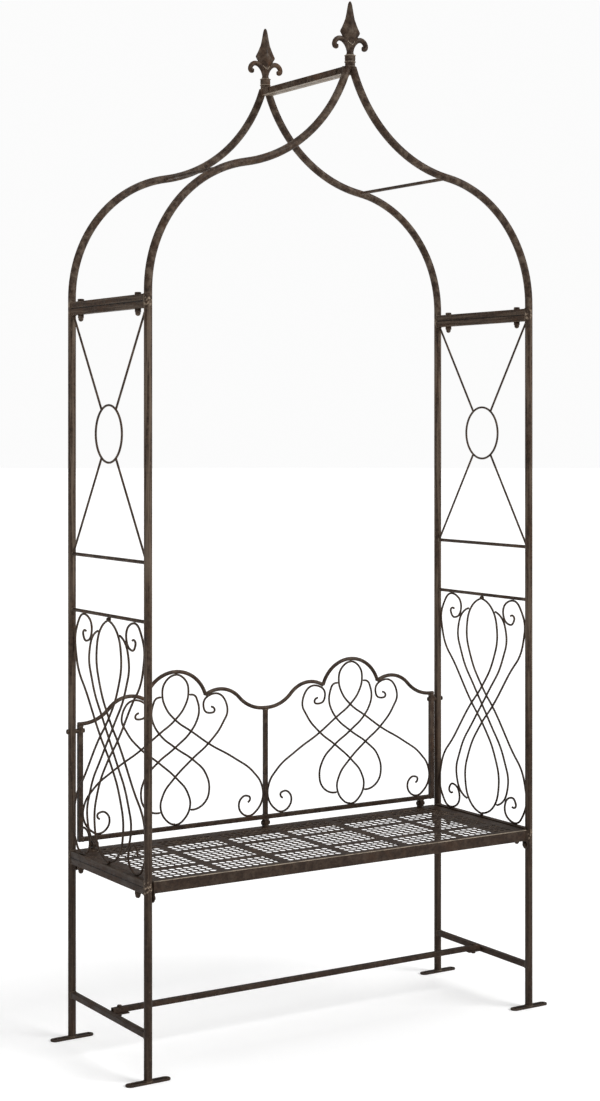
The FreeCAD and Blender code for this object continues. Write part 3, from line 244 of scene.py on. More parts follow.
def patinated_paint(name, rust=0.5, wear=0.5, streaks=None, edge=None, joints=(),
                    rough=(0.42, 0.64), coarse=0.35, pale=0.0, bounce_light_below=0.0,
                    seams=(), seam_axis="Z", rims=()):
    """Dark brown paint with rust-brown clouds, greyed rubs, pale worn edges and a fine grain.

    The paint is darkened towards the ground by painted shade, and is less rubbed there. pale bares
    some of it everywhere, and bounce_light_below lightens the undersides with painted light, as if
    bounced up from the floor. joints are the heights of rubbed joints, seams are the levels where
    two bars lie against each other with a dark line of painted shade between, and rims are the Y
    levels of rubbed outer edges."""
    graph = Graph(name)
    patches, mottle = graph.noise("patches"), graph.noise("mottle")
    colour = graph.mix(graph.between(mottle, 0.30, 0.72), PAINT["deep"], PAINT["brown"])
    rusty = graph.times(graph.between(graph.noise("clouds"), 0.44, 0.66),
                        graph.between(patches, 0.40, 0.66))
    # A height ramp: painted shade darkens the paint towards the bottom, and the rubs fade there
    # too.
    shade_and_rub_height = graph.between(graph.coordinate(), SHADE_AND_RUB_FROM, SHADE_AND_RUB_TO)
    layers = [(graph.times(rusty, rust), "rust"),
              (graph.between(shade_and_rub_height, 0.0, 1.0, 0.55, 0.0), "deep"),
              (rubbed_share(graph, shade_and_rub_height, wear, streaks), "grey"),
              (worn_share(graph, patches, wear, edge, joints), "worn")]
    if pale:
        layers.append((graph.times(graph.between(mottle, 0.35, 0.65, 0.5, 1.0), pale), "bare_and_bounce_light"))
    # Painted light: the undersides are lightened as if lit by light bounced up from the floor.
    if bounce_light_below:
        underside_lit = graph.times(graph.facing_down(), graph.between(mottle, 0.25, 0.60, 0.6, 1.0))
        layers.append((graph.times(underside_lit, bounce_light_below), "bare_and_bounce_light"))
    if rims:
        flecks = graph.between(patches, 0.35, 0.60, 0.35, 0.75)
        layers.append((graph.times(graph.near_levels(rims, RIM_REACH, "Y"), flecks), "bare_and_bounce_light"))
    # Painted shade: a dark line where two bars lie against each other.
    if seams:
        layers.append((graph.near_levels(seams, SEAM_REACH, seam_axis), "seam_shade"))
    for share, tone in layers:
        colour = graph.mix(share, colour, PAINT[tone])
    graph.link(colour, graph.shader.inputs["Base Color"])
    low, high = rough
    roughness = graph.math("ADD", graph.between(patches, 0.35, 0.70, low, high),
                           graph.between(mottle, 0.35, 0.70, -0.05, 0.07))
    graph.link(roughness, graph.shader.inputs["Roughness"])
    graph.bump([(patches, coarse, PATCH_RELIEF), (mottle, 0.40, MOTTLE_RELIEF),
                (graph.noise("grain"), 0.25, GRAIN_RELIEF)])
    graph.shader.inputs["Specular IOR Level"].default_value = SPECULAR_LEVEL
    return graph.material


MATERIALS = {
    "tube": patinated_paint("tube_paint", rust=0.40, wear=0.75, streaks=(1.0, 1.0, 0.03),
                            joints=JOINT_LEVELS),
    "bar": patinated_paint("bar_paint", rust=0.55, wear=0.50, edge=1.2 * MM),
    "wire": patinated_paint("wire_paint", rust=0.40, wear=0.45, coarse=0.2),
    "sheet": patinated_paint("sheet_paint", rust=0.45, wear=0.60, edge=0.8 * MM,
                             rough=(0.34, 0.52), rims=(SHEET_LOW.y, SHEET_HIGH.y)),
    "fasteners": patinated_paint("fastener_paint", rust=0.35, wear=0.80, edge=0.9 * MM),
    "cast": patinated_paint("cast_paint", rust=0.95, wear=0.55, edge=2.0 * MM, coarse=0.6),
}
WELD_PAINT = patinated_paint("weld_paint", rust=0.80, wear=1.0, coarse=0.7, pale=0.12)
ARCH_PAINT = patinated_paint("arch_paint", rust=0.35, wear=0.70, joints=JOINT_LEVELS)
# The beams get a dark line of painted shade at the levels where they lie on each other.
BEAM_PAINT = patinated_paint("beam_paint", rust=0.50, wear=0.45, streaks=(1.0, 0.04, 1.0),
                             edge=1.6 * MM, seams=JOINT_LEVELS)
# The ridge bars get painted bounce light on their undersides and a dark line of painted shade down
# their middle.
RIDGE_PAINT = patinated_paint("ridge_paint", rust=0.55, wear=0.50, edge=1.2 * MM,
                              bounce_light_below=0.50, seams=(0.0,), seam_axis="X")
SEAM_PAINT = patinated_paint("seam_paint", rust=0.30, wear=1.0, coarse=0.5, pale=0.60)


# ---------------------------------------------------------------- meshes

MERGE_DISTANCE = 1e-6


def add_piece(name, vertices, faces, material, slot):
    """A finished mesh as a piece of the object."""
    mesh = bpy.data.meshes.new(name)
    mesh.from_pydata([tuple(v) for v in vertices], [], faces)
    mesh.validate()
    mesh.polygons.foreach_set("use_smooth", [True] * len(mesh.polygons))
    mesh.materials.append(material)
    piece = bpy.data.objects.new(name, mesh)
    bpy.context.scene.collection.objects.link(piece)
    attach(piece, "root")
    return piece


def circle(steps):
    """The angles of evenly spaced points round a circle."""
    return [2 * math.pi * step / steps for step in range(steps)]


def stitched(rings, closed_loop=False):
    """Vertices and faces of a skin over rings of equal length, closed by caps or as a loop."""
    count = len(rings[0])
    vertices = [point for ring in rings for point in ring]
    faces = []
    pairs = len(rings) if closed_loop else len(rings) - 1
    for i in range(pairs):
        low, high = i * count, (i + 1) % len(rings) * count
        for j in range(count):
            k = (j + 1) % count
            faces.append((low + j, low + k, high + k, high + j))
    if not closed_loop:
        faces.append(tuple(reversed(range(count))))
        faces.append(tuple(range((len(rings) - 1) * count, len(rings) * count)))
    return vertices, faces


def joined(parts):
    """Several (vertices, faces) as one."""
    vertices, faces = [], []
    for part_vertices, part_faces in parts:
        base = len(vertices)
        vertices += part_vertices
        faces += [tuple(base + i for i in face) for face in part_faces]
    return vertices, faces


def mesh_of(node):
    """A working copy of a CAD node's mesh, its doubled vertices merged."""
    work = bmesh.new()
    work.from_mesh(frame["nodes"][node].data)
    bmesh.ops.remove_doubles(work, verts=work.verts, dist=MERGE_DISTANCE)
    return work


def separate_solids(work):
    """The vertices of each separate solid of a working mesh."""
    seen, solids = set(), []
    for start in work.verts:
        if start in seen:
            continue
        seen.add(start)
        front, solid = [start], []
        while front:
            vertex = front.pop()
            solid.append(vertex)
            for edge in vertex.link_edges:
                other = edge.other_vert(vertex)
                if other not in seen:
                    seen.add(other)
                    front.append(other)
        solids.append(solid)
    return solids


def solid_boxes(node):
    """The lowest and highest corner of each separate solid of a CAD node, in a fixed order."""
    work = mesh_of(node)
    boxes = []
    for solid in separate_solids(work):
        coordinates = list(zip(*(vertex.co for vertex in solid)))
        boxes.append((Vector(map(min, coordinates)), Vector(map(max, coordinates))))
    work.free()
    return sorted(boxes, key=lambda box: tuple(round(c, 4) for c in box[0]))


# ---------------------------------------------------------------- fasteners

HEX_STEPS = 60
CHAMFER_SLOPE = math.tan(math.radians(30))
# Shares of a head's half width: where its chamfer begins, and its crown's width and rise.
CHAMFER_FROM, CROWN_WIDTH, CROWN_RISE = 0.93, 0.80, 0.04
# A cap nut's shoulder and dome as shares of its half width, and the step between them.
SHOULDER_WIDTH, DOME_WIDTH, DOME_STEP = 0.96, 0.90, 0.4 * MM
DOME_RINGS, DOME_TIP = 9, 0.02
# The chamfer at a shank's end: the width left and its length, as shares of the radius.
SHANK_TIP, SHANK_CHAMFER = 0.8, 0.2
BOLT_ACROSS, BOLT_HEAD, BOLT_R = 13 * MM, 5.3 * MM, 4 * MM
CAP_HEX = 8 * MM
SCREW_ACROSS, SCREW_HEAD, SCREW_R = 10 * MM, 4 * MM, 3 * MM


def round_ring(radius, height):
    return [Vector((radius * math.cos(angle), radius * math.sin(angle), height))
            for angle in circle(HEX_STEPS)]


def hex_ring(half, height, chamfered=False):
    """A hexagon of a half width, its corners dipping where it's chamfered."""
    ring = []
    for angle in circle(HEX_STEPS):
        sector = (angle + math.pi / 6) % (math.pi / 3) - math.pi / 6
        reach = half / math.cos(sector)
        dip = (reach - CHAMFER_FROM * half) * CHAMFER_SLOPE if chamfered else 0.0
        ring.append(Vector((reach * math.cos(angle), reach * math.sin(angle), height - dip)))
    return ring


def hex_head(across, height):
    """A chamfered hexagon head standing on z = 0."""
    half = across / 2
    return stitched([hex_ring(half, 0), hex_ring(half, height, True),
                     round_ring(CHAMFER_FROM * half, height),
                     round_ring(CROWN_WIDTH * half, height + CROWN_RISE * half)])


def shank(radius, length):
    """A bolt's plain shank from z = 0 up, with a chamfered lower end."""
    return stitched([round_ring(SHANK_TIP * radius, 0),
                     round_ring(radius, SHANK_CHAMFER * radius), round_ring(radius, length)])


def domed_nut(across, hex_height, height):
    """A cap nut that stands on z = 0 with its dome upwards."""
    half = across / 2
    dome = DOME_WIDTH * half
    rings = [hex_ring(half, 0), hex_ring(half, hex_height, True),
             round_ring(SHOULDER_WIDTH * half, hex_height),
             round_ring(dome, hex_height + DOME_STEP)]
    straight = height - dome
    for step in range(DOME_RINGS):
        angle = math.pi / 2 * step / DOME_RINGS
        rings.append(round_ring(dome * math.cos(angle), straight + dome * math.sin(angle)))
    rings.append(round_ring(DOME_TIP * dome, height))
    return stitched(rings)


def plain_nut(across, height):
    """A nut chamfered on both faces, standing on z = 0."""
    half = across / 2
    upper = hex_ring(half, height, True)
    lower = [Vector((v.x, v.y, height - v.z)) for v in upper]
    return stitched([round_ring(CHAMFER_FROM * half, 0), lower, upper,
                     round_ring(CHAMFER_FROM * half, height)])


def put(part, place, direction=(0, 0, 1), turn=0.0):
    """A part moved so that its base is at place and its +Z points along direction."""
    vertices, faces = part
    facing = Vector(direction).to_track_quat("Z", "Y").to_matrix().to_4x4()
    matrix = Matrix.Translation(place) @ facing @ Matrix.Rotation(turn, 4, "Z")
    return [matrix @ Vector(v) for v in vertices], faces


def hex_turn(chance):
    """A chance angle for a hexagon, which looks the same every sixth of a turn."""
    return chance.uniform(0, math.pi / 3)


def stack_fasteners(chance):
    """Hexagon bolts over the upper stacks and studs in the lower ones, and all their cap nuts."""
    for number, (low, high) in enumerate(solid_boxes("stack_bolts"), start=1):
        middle = (low + high) / 2
        seat = Vector((middle.x, middle.y, high.z - BOLT_HEAD))
        foot = Vector((middle.x, middle.y, low.z))
        part = joined([put(hex_head(BOLT_ACROSS, BOLT_HEAD), seat, turn=hex_turn(chance)),
                       put(shank(BOLT_R, high.z - low.z - BOLT_HEAD), foot)])
        piece = add_piece(f"stack_bolt_{number}", *part, MATERIALS["fasteners"], "fasteners")
        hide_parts("stack_bolts")
    for number, (low, high) in enumerate(solid_boxes("stack_cap_nuts"), start=1):
        middle = (low + high) / 2
        top = Vector((middle.x, middle.y, high.z))
        part = put(domed_nut(BOLT_ACROSS, CAP_HEX, high.z - low.z), top, (0, 0, -1),
                   hex_turn(chance))
        piece = add_piece(f"cap_nut_{number}", *part, MATERIALS["fasteners"], "fasteners")
        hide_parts("stack_cap_nuts")


# The way each screw's head points, from the sign of the screw's X.
SCREW_HEADS = {
    "stretcher_bolts": lambda sign: Vector((0, 0, 1)),
    "ridge_bolts": lambda sign: Vector((-1, 0, 0)),
    "pivot_bolts": lambda sign: Vector((-1, 0, 0)),
    "seat_screws": lambda sign: Vector((-sign, 0, 0)),
    "back_corner_bolts": lambda sign: Vector((sign, 0, 0)),
}


def small_fasteners(chance):
    """The small hexagon screws, each with its head on its own side, and their nuts."""
    for node, head_way in SCREW_HEADS.items():
        for number, (low, high) in enumerate(solid_boxes(node), start=1):
            middle, half = (low + high) / 2, (high - low) / 2
            way = head_way(1 if middle.x > 0 else -1)
            length = 2 * abs(half.dot(way))
            end = middle - way * (length / 2)
            part = joined([put(shank(SCREW_R, length - SCREW_HEAD), end, way),
                           put(hex_head(SCREW_ACROSS, SCREW_HEAD),
                               end + way * (length - SCREW_HEAD), way, hex_turn(chance))])
            piece = add_piece(f"{node[:-1]}_{number}", *part, MATERIALS["fasteners"], "fasteners")
            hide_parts(node)
    for number, (low, high) in enumerate(solid_boxes("small_nuts"), start=1):
        sizes = high - low
        along_z = sizes.z < sizes.x
        way = Vector((0, 0, 1)) if along_z else Vector((1, 0, 0))
        height = sizes.z if along_z else sizes.x
        start = (low + high) / 2 - way * (height / 2)
        part = put(plain_nut(SCREW_ACROSS, height), start, way, hex_turn(chance))
        piece = add_piece(f"small_nut_{number}", *part, MATERIALS["fasteners"], "fasteners")
        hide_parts("small_nuts")


# ---------------------------------------------------------------- finials

# Collar and stem: radius and height in millimetres.
COLLAR_PROFILE = [(10.5, -2), (11.6, 1), (11.4, 8), (12.6, 9.2), (12.9, 10.4), (12.1, 11.6),
                  (11.7, 13), (12.2, 18), (11.7, 22.5), (12.0, 23.6), (12.6, 24.8), (12.0, 26),
                  (9.0, 27.4), (8.0, 31), (7.6, 36), (8.2, 42), (9.0, 48), (7.0, 55), (3.0, 60)]
# Spear: half width, half depth and height in millimetres.
SPEAR_PROFILE = [(3, 3, 46), (11.2, 7.5, 54), (18.8, 10, 64), (25.4, 11.5, 74), (27.4, 12, 77.5),
                 (26.6, 11.8, 80), (22.0, 10.6, 88), (18.0, 9.4, 96), (13.2, 8.2, 107),
                 (10.4, 7.2, 118), (8.2, 6.2, 129), (6.4, 5.2, 138), (4.8, 4.3, 143.5),
                 (2.8, 2.6, 147), (0.6, 0.6, 148)]
# The exponent of the spear's section: 1 would give a sharp diamond and 2 an ellipse.
SPEAR_POWER = 1.12
# Curl: middle line across and up, and the bar's radius at each point, in millimetres.
CURL_PATH = [(3.5, 33), (6.5, 45), (13, 55), (21.8, 61), (31, 61.6), (38.6, 57.2), (42.4, 49.8),
             (41.0, 44.2), (37.2, 43.0), (35.2, 45.2)]
CURL_RADII = [4.6, 5.4, 5.9, 6.0, 5.9, 5.8, 5.7, 6.0, 5.6, 3.6]
# Raised seams: the radius and height of those round the collar, and the line of the two
# across the throat (across, depth, up), in millimetres.
SEAM_RADIUS = 0.9
COLLAR_SEAMS = ((12.3, 10.4), (12.3, 24.8))
THROAT_SEAM = [(-9, 4.6, 57), (-5, 7.0, 52.5), (0, 9.4, 48.5), (5, 7.0, 52.5), (9, 4.6, 57)]
# Steps between two points of each profile or path, and round each section.
COLLAR_SPAN, CURL_SPAN, THROAT_SPAN = 2, 6, 4
CAST_STEPS = 48
CURL_SIDES, SEAM_SIDES = 20, 10
# A rounded bar end, ring by ring: how far out it stands and how wide it still is.
END_CAP = ((0.5, 0.85), (0.85, 0.5), (0.98, 0.1))


def curve_points(points, steps):
    """A smooth run through the points, a Catmull-Rom curve in each span."""
    points = [Vector(p) for p in points]
    ends = [2 * points[0] - points[1]] + points + [2 * points[-1] - points[-2]]
    run = []
    for a, b, c, d in zip(ends, ends[1:], ends[2:], ends[3:]):
        for step in range(steps):
            t = step / steps
            run.append(0.5 * (2 * b + (c - a) * t + (2 * a - 5 * b + 4 * c - d) * t ** 2
                              + (3 * b - a - 3 * c + d) * t ** 3))
    return run + [points[-1]]


def tube_along(path, radii, sides):
    """A round bar whose radius changes along a path across Y, with rounded ends."""
    rings = []
    across = Vector((0, 1, 0))
    last = len(path) - 1
    for i, (point, radius) in enumerate(zip(path, radii)):
        ahead = (path[min(i + 1, last)] - path[max(i - 1, 0)]).normalized()
        up = ahead.cross(across).normalized()
        rings.append([point + (across * math.cos(a) + up * math.sin(a)) * radius
                      for a in circle(sides)])
        if i in (0, last):
            outward = ahead * (-1 if i == 0 else 1)
            caps = [[p + outward * (lift * radius) + (point - p) * (1 - share) for p in rings[-1]]
                    for lift, share in END_CAP]
            rings = rings + caps if i else caps[::-1] + rings
    return stitched(rings)


def cast_ring(radius, height):
    """A level circle of a finial, sizes in millimetres."""
    return [Vector((radius * math.cos(a), radius * math.sin(a), height)) * MM
            for a in circle(CAST_STEPS)]


def spear_part():
    """A four-sided spear with softened edges."""
    rings = []
    for wide, deep, height in SPEAR_PROFILE:
        ring = []
        for angle in circle(CAST_STEPS):
            c, s = math.cos(angle), math.sin(angle)
            reach = (abs(c) ** SPEAR_POWER + abs(s) ** SPEAR_POWER) ** (-1 / SPEAR_POWER)
            ring.append(Vector((wide * reach * c, deep * reach * s, height)) * MM)
        rings.append(ring)
    return stitched(rings)


def finial_part():
    """Collar and stem, spear and two curls."""
    profile = curve_points([(across, 0, up) for across, up in COLLAR_PROFILE], COLLAR_SPAN)
    collar = stitched([cast_ring(p.x, p.z) for p in profile])
    middle_line = curve_points([(across, 0, up) for across, up in CURL_PATH], CURL_SPAN)
    path = [p * MM for p in middle_line]
    radii = [p.x * MM for p in curve_points([(r, 0, 0) for r in CURL_RADII], CURL_SPAN)]
    curl = tube_along(path, radii, CURL_SIDES)
    mirrored = [Vector((-v.x, v.y, v.z)) for v in curl[0]], [face[::-1] for face in curl[1]]
    return joined([collar, spear_part(), curl, mirrored])


def finial_seams():
    """The raised seams round the collar and across the throat on both faces."""
    seams = [bead(cast_ring(across, up), SEAM_RADIUS * MM) for across, up in COLLAR_SEAMS]
    for face in (-1, 1):
        points = [(across, face * depth, up) for across, depth, up in THROAT_SEAM]
        line = [p * MM for p in curve_points(points, THROAT_SPAN)]
        seams.append(tube_along(line, [SEAM_RADIUS * MM] * len(line), SEAM_SIDES))
    return joined(seams)


def finials():
    """Cast finials with their seams, in place of the plain ones."""
    whole, seams = finial_part(), finial_seams()
    for end_name, _ in ENDS:
        low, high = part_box(f"finial_{end_name}")
        foot = Vector(((low.x + high.x) / 2, (low.y + high.y) / 2, low.z))
        piece = add_piece(f"cast_finial_{end_name}", [v + foot for v in whole[0]], whole[1],
                          MATERIALS["cast"], "cast")
        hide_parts(f"finial_{end_name}")
        add_piece(f"finial_seams_{end_name}", [v + foot for v in seams[0]], seams[1], SEAM_PAINT,
                  "cast")


# ---------------------------------------------------------------- welds

BEAD_R, LOOP_BEAD_R, FOOT_BEAD_R, NECK_BEAD_R = 1.7 * MM, 1.3 * MM, 2.0 * MM, 1.8 * MM
BEAD_SIDES = 8
# How often and how strongly a bead's thickness changes along its way.
LUMPS_PER_METRE, LUMP_SHARE = 260, 0.42
RIPPLE_RATE, RIPPLE_SHARE = 2600, 0.10
BAR_CORNER, TAB_CORNER = 1.0 * MM, 0.4 * MM
CORNER_POINTS, SIDE_STEPS, ROUND_STEPS = 3, 10, 36
# The radius of the bead under a finial, and how deep the ridge bars' beads sink into the tubes.
NECK_R, RIDGE_SINK = 10.5 * MM, 0.5 * MM


def bead(path, radius=BEAD_R, seed=0.0):
    """A lumpy bead along a closed path."""
    rings = []
    count = len(path)
    middle = sum(path, Vector()) / count
    for i, point in enumerate(path):
        ahead = (path[(i + 1) % count] - path[i - 1]).normalized()
        out = (point - middle - ahead * (point - middle).dot(ahead)).normalized()
        side = ahead.cross(out).normalized()
        lump = noise.noise(point * LUMPS_PER_METRE + Vector((seed, 0, 0)))
        ripple = math.sin(point.length * RIPPLE_RATE)
        thick = radius * (1 + LUMP_SHARE * lump + RIPPLE_SHARE * ripple)
        rings.append([point + (out * math.cos(a) + side * math.sin(a)) * thick
                      for a in circle(BEAD_SIDES)])
    return stitched(rings, closed_loop=True)


def square_outline(half_wide, half_tall, corner=BAR_CORNER):
    """Points round a rectangle with small round corners."""
    inner_x, inner_z = half_wide - corner, half_tall - corner
    corners = ((inner_x, inner_z), (-inner_x, inner_z), (-inner_x, -inner_z), (inner_x, -inner_z))
    points = []
    for quarter, (x, z) in enumerate(corners):
        for step in range(CORNER_POINTS):
            angle = math.pi / 2 * (quarter + step / (CORNER_POINTS - 1))
            points.append((x + corner * math.cos(angle), z + corner * math.sin(angle)))
        next_x, next_z = corners[(quarter + 1) % 4]
        start_x, start_z = points[-1]
        end_x, end_z = next_x + corner * math.cos(angle), next_z + corner * math.sin(angle)
        for step in range(1, SIDE_STEPS):
            t = step / SIDE_STEPS
            points.append((start_x + (end_x - start_x) * t, start_z + (end_z - start_z) * t))
    return points


def round_outline(radius):
    return [(radius * math.cos(a), radius * math.sin(a)) for a in circle(ROUND_STEPS)]


def saddle_bead(outline, x, z, end, seed, lean=0.0):
    """A bead where a bar along Y ends on a tube at the front or rear; lean turns the tube."""
    path = []
    for across, up in outline:
        offset = across * math.cos(lean) + up * math.sin(lean)
        reach = math.sqrt(max(TUBE_R ** 2 - offset ** 2, 0.0))
        path.append(Vector((x + across, end * (POST_Y - reach), z + up)))
    return bead(path, seed=seed)


def end_bead(low, high, axis, level, seed, corner=BAR_CORNER):
    """A bead round the bar in a box, at a level on the axis along which the bar runs."""
    half, centre = (high - low) / 2, (low + high) / 2
    centre[axis] = level
    first, second = [i for i in range(3) if i != axis]
    path = []
    for a, b in square_outline(half[first], half[second], corner):
        point = centre.copy()
        point[first] += a
        point[second] += b
        path.append(point)
    return bead(path, LOOP_BEAD_R, seed)


def bar_middle(node, side):
    """X and Z of the middle of a bar along Y, and its half sizes, on one side of the object."""
    low, high = next(box for box in solid_boxes(node) if (box[0].x + box[1].x) * side > 0)
    return (low.x + high.x) / 2, (low.z + high.z) / 2, (high.x - low.x) / 2, (high.z - low.z) / 2


def frame_welds():
    """Beads where the bars and beams of each side meet its legs and posts, and at the feet."""
    squares = ("leg_side_bars", "leg_top_beam_{}", "side_bottom_beam_{}", "side_top_beam_{}",
               "arch_base_beam_{}")
    rounds = ("scroll_bars", "lattice_bars")
    for side_name, side in SIDES:
        parts = []
        for number, pattern in enumerate(squares + rounds):
            x, z, half_x, half_z = bar_middle(pattern.format(side_name), side)
            square = pattern in squares
            outline = square_outline(half_x, half_z) if square else round_outline(half_x)
            parts += [saddle_bead(outline, x, z, end, number * 7 + end * 3 + side)
                      for _, end in ENDS]
        add_piece(f"frame_welds_{side_name}", *joined(parts), WELD_PAINT, "bar")
    for end_name, end in ENDS:
        for side_name, side in SIDES:
            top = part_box(f"foot_{end_name}_{side_name}")[1].z
            ring = [Vector((side * POST_X + a, end * POST_Y + b, top))
                    for a, b in round_outline(TUBE_R)]
            add_piece(f"foot_weld_{end_name}_{side_name}",
                      *bead(ring, FOOT_BEAD_R, side + 2 * end), WELD_PAINT, "bar")


def arch_lean(middle, end_name, side_name):
    """The angle across which an arch tube is widest, near a place on its middle line."""
    tube = frame["nodes"][f"arch_tube_{end_name}_{side_name}"].data
    offsets = [vertex.co - middle for vertex in tube.vertices]
    near = [v for v in offsets if abs(v.x) < 3 * TUBE_R and abs(v.z) < 3 * TUBE_R]
    spread_xx, spread_zz = sum(v.x * v.x for v in near), sum(v.z * v.z for v in near)
    spread_xz = sum(v.x * v.z for v in near)
    along = 0.5 * math.atan2(2 * spread_xz, spread_xx - spread_zz)
    return along + math.pi / 2


def arch_welds():
    """Beads at the arch's cross bars, round the ridge bars' ends and under the finials."""
    parts = []
    for low, high in solid_boxes("arch_cross_bars"):
        middle = (low + high) / 2
        side_name = "left" if middle.x < 0 else "right"
        outline = round_outline((high.z - low.z) / 2)
        for end_name, end in ENDS:
            lean = arch_lean(middle, end_name, side_name)
            parts.append(saddle_bead(outline, middle.x, middle.z, end, middle.x * 9 + end, lean))
    low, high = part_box("ridge_bars")
    for end_name, end in ENDS:
        parts.append(end_bead(low, high, 1, end * (POST_Y - TUBE_R + RIDGE_SINK), end))
        neck = Vector((0, end * POST_Y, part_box(f"finial_{end_name}")[0].z))
        ring = [neck + Vector((a, b, 0)) for a, b in round_outline(NECK_R)]
        parts.append(bead(ring, NECK_BEAD_R, end * 5))
    add_piece("arch_welds", *joined(parts), WELD_PAINT, "bar")


def bench_welds():
    """Beads at the seat rails' ends, and at the back's rail, stiles and pivot tabs."""
    parts = []
    for low, high in solid_boxes("seat_long_rails"):
        parts += [end_bead(low, high, 0, low.x, -1), end_bead(low, high, 0, high.x, 1)]
    add_piece("seat_welds", *joined(parts), WELD_PAINT, "bar")
    low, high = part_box("back_bottom_rail")
    parts = [end_bead(low, high, 0, x, x * 5) for x in (low.x, high.x)]
    for low, high in solid_boxes("back_end_stiles") + solid_boxes("back_stile_centre"):
        parts.append(end_bead(low, high, 2, high.z, low.x))
    low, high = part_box("back_stile_centre")
    parts.append(end_bead(low, high, 2, low.z, 3))
    rail_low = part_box("back_bottom_rail")[0].z
    for low, high in solid_boxes("back_pivot_tabs"):
        welded = high.z if abs(high.z - rail_low) < 1 * MM else low.z
        parts.append(end_bead(low, high, 2, welded, low.x * 3, TAB_CORNER))
    add_piece("back_welds", *joined(parts), WELD_PAINT, "bar")


# ---------------------------------------------------------------- weld dabs on the wires

# How near a wire has to come to its neighbour, and how far apart two dabs have to be.
DAB_REACH, DAB_APART = 1.0 * MM, 12 * MM
# How near a strand's end has to be to another strand, and how wide the rim of one end is.
TAIL_REACH, RIM_WIDTH = 9 * MM, 6 * MM
RIM_ANGLE = math.radians(60)
DAB_RADII = (1.6, 2.0)
DAB_RINGS, DAB_SIDES = 8, 12
DAB_LUMP_SHARE, DAB_LUMP_RATE = 0.30, 1.7


def average(points):
    return sum(points, Vector()) / len(points)


def contacts(node, neighbours):
    """Places where a node's wires come up against its neighbours."""
    wires = frame["nodes"][node].data
    found = []
    for name in neighbours:
        mesh = frame["nodes"][name].data
        tree = BVHTree.FromPolygons([v.co for v in mesh.vertices],
                                    [tuple(p.vertices) for p in mesh.polygons])
        for vertex in wires.vertices:
            place = tree.find_nearest(vertex.co, DAB_REACH)[0]
            if place is None:
                continue
            middle = (place + vertex.co) / 2
            group = next((g for g in found if (average(g) - middle).length < DAB_APART), None)
            if group is None:
                found.append([middle])
            else:
                group.append(middle)
    return [average(group) for group in found]


def strand_ends(strand):
    """The middle of each end of a strand, found by the sharp rims there."""
    ends = []
    for vertex in strand:
        if not any(len(edge.link_faces) == 2 and edge.calc_face_angle() > RIM_ANGLE
                   for edge in vertex.link_edges):
            continue
        group = next((g for g in ends if (g[0] - vertex.co).length < RIM_WIDTH), None)
        if group is None:
            ends.append([vertex.co.copy()])
        else:
            group.append(vertex.co.copy())
    return [average(group) for group in ends]


def tail_places(node):
    """Places where a strand's end comes close to another strand of the same scrolls."""
    work = mesh_of(node)
    places = []
    for strand in separate_solids(work):
        members = set(strand)
        others = [face for face in work.faces if face.verts[0] not in members]
        tree = BVHTree.FromPolygons([v.co.copy() for face in others for v in face.verts],
                                    [(3 * i, 3 * i + 1, 3 * i + 2) for i in range(len(others))])
        for middle in strand_ends(strand):
            place = tree.find_nearest(middle, TAIL_REACH)[0]
            if place is not None:
                places.append(middle.lerp(place, 0.5))
    work.free()
    return places


def dab(place, radius, seed):
    """A lump of weld metal."""
    rings = []
    for i in range(1, DAB_RINGS):
        up = math.pi * i / DAB_RINGS
        ring = []
        for angle in circle(DAB_SIDES):
            way = Vector((math.sin(up) * math.cos(angle), math.sin(up) * math.sin(angle),
                          math.cos(up)))
            lump = noise.noise(way * DAB_LUMP_RATE + Vector((seed, 0, 0)))
            ring.append(place + way * radius * (1 + DAB_LUMP_SHARE * lump))
        rings.append(ring[::-1])
    return stitched(rings)


def wire_welds(chance):
    """Dabs of weld wherever a scroll, ring or rod touches its frame."""
    groups = {f"side_scrolls_{s}": [f"post_front_{s}", f"post_rear_{s}", f"side_bottom_beam_{s}",
                                    "scroll_bars"] for s, _ in SIDES}
    groups.update({f"back_scrolls_{s}": ["back_end_stiles", "back_stile_centre",
                                         "back_bottom_rail", f"back_top_rail_{s}"]
                   for s, _ in SIDES})
    groups["lattice_rods"] = ["lattice_rings", "lattice_bars",
                              *(f"side_top_beam_{s}" for s, _ in SIDES)]
    for node, neighbours in groups.items():
        places = contacts(node, neighbours)
        if node != "lattice_rods":
            places += tail_places(node)
        parts = [dab(place, chance.uniform(*DAB_RADII) * MM, number * 3.7)
                 for number, place in enumerate(places)]
        if parts:
            add_piece(f"{node}_welds", *joined(parts), WELD_PAINT, "wire")


# ---------------------------------------------------------------- the frame's own nodes

ROLLED_EDGE = 0.9 * MM
ROLLED_SEGMENTS = 3
SHARP_EDGE = math.radians(40)
WELD_DISTANCE = 1e-5


def paint_for(node, slot):
    if "_beam_" in node:
        return BEAM_PAINT
    if node.startswith("arch_tube"):
        return ARCH_PAINT
    if node == "ridge_bars":
        return RIDGE_PAINT
    return MATERIALS[slot]


def dress_nodes():
    """Each CAD node gets its paint and, where it's a flat or square bar, rolled edges."""
    slots = {part["node"]: part["material_slot"] for part in frame["record"]["subparts"]}
    for name, thing in frame["nodes"].items():
        thing.data.materials.clear()
        thing.data.materials.append(paint_for(name, slots[name]))
        if slots[name] == "bar":
            weld = thing.modifiers.new("weld", "WELD")
            weld.merge_threshold = WELD_DISTANCE
            bevel = thing.modifiers.new("rolled_edges", "BEVEL")
            bevel.width = ROLLED_EDGE
            bevel.segments = ROLLED_SEGMENTS
            bevel.limit_method = "ANGLE"
            bevel.angle_limit = SHARP_EDGE
            bevel.harden_normals = False


# ---------------------------------------------------------------- stage, light and camera

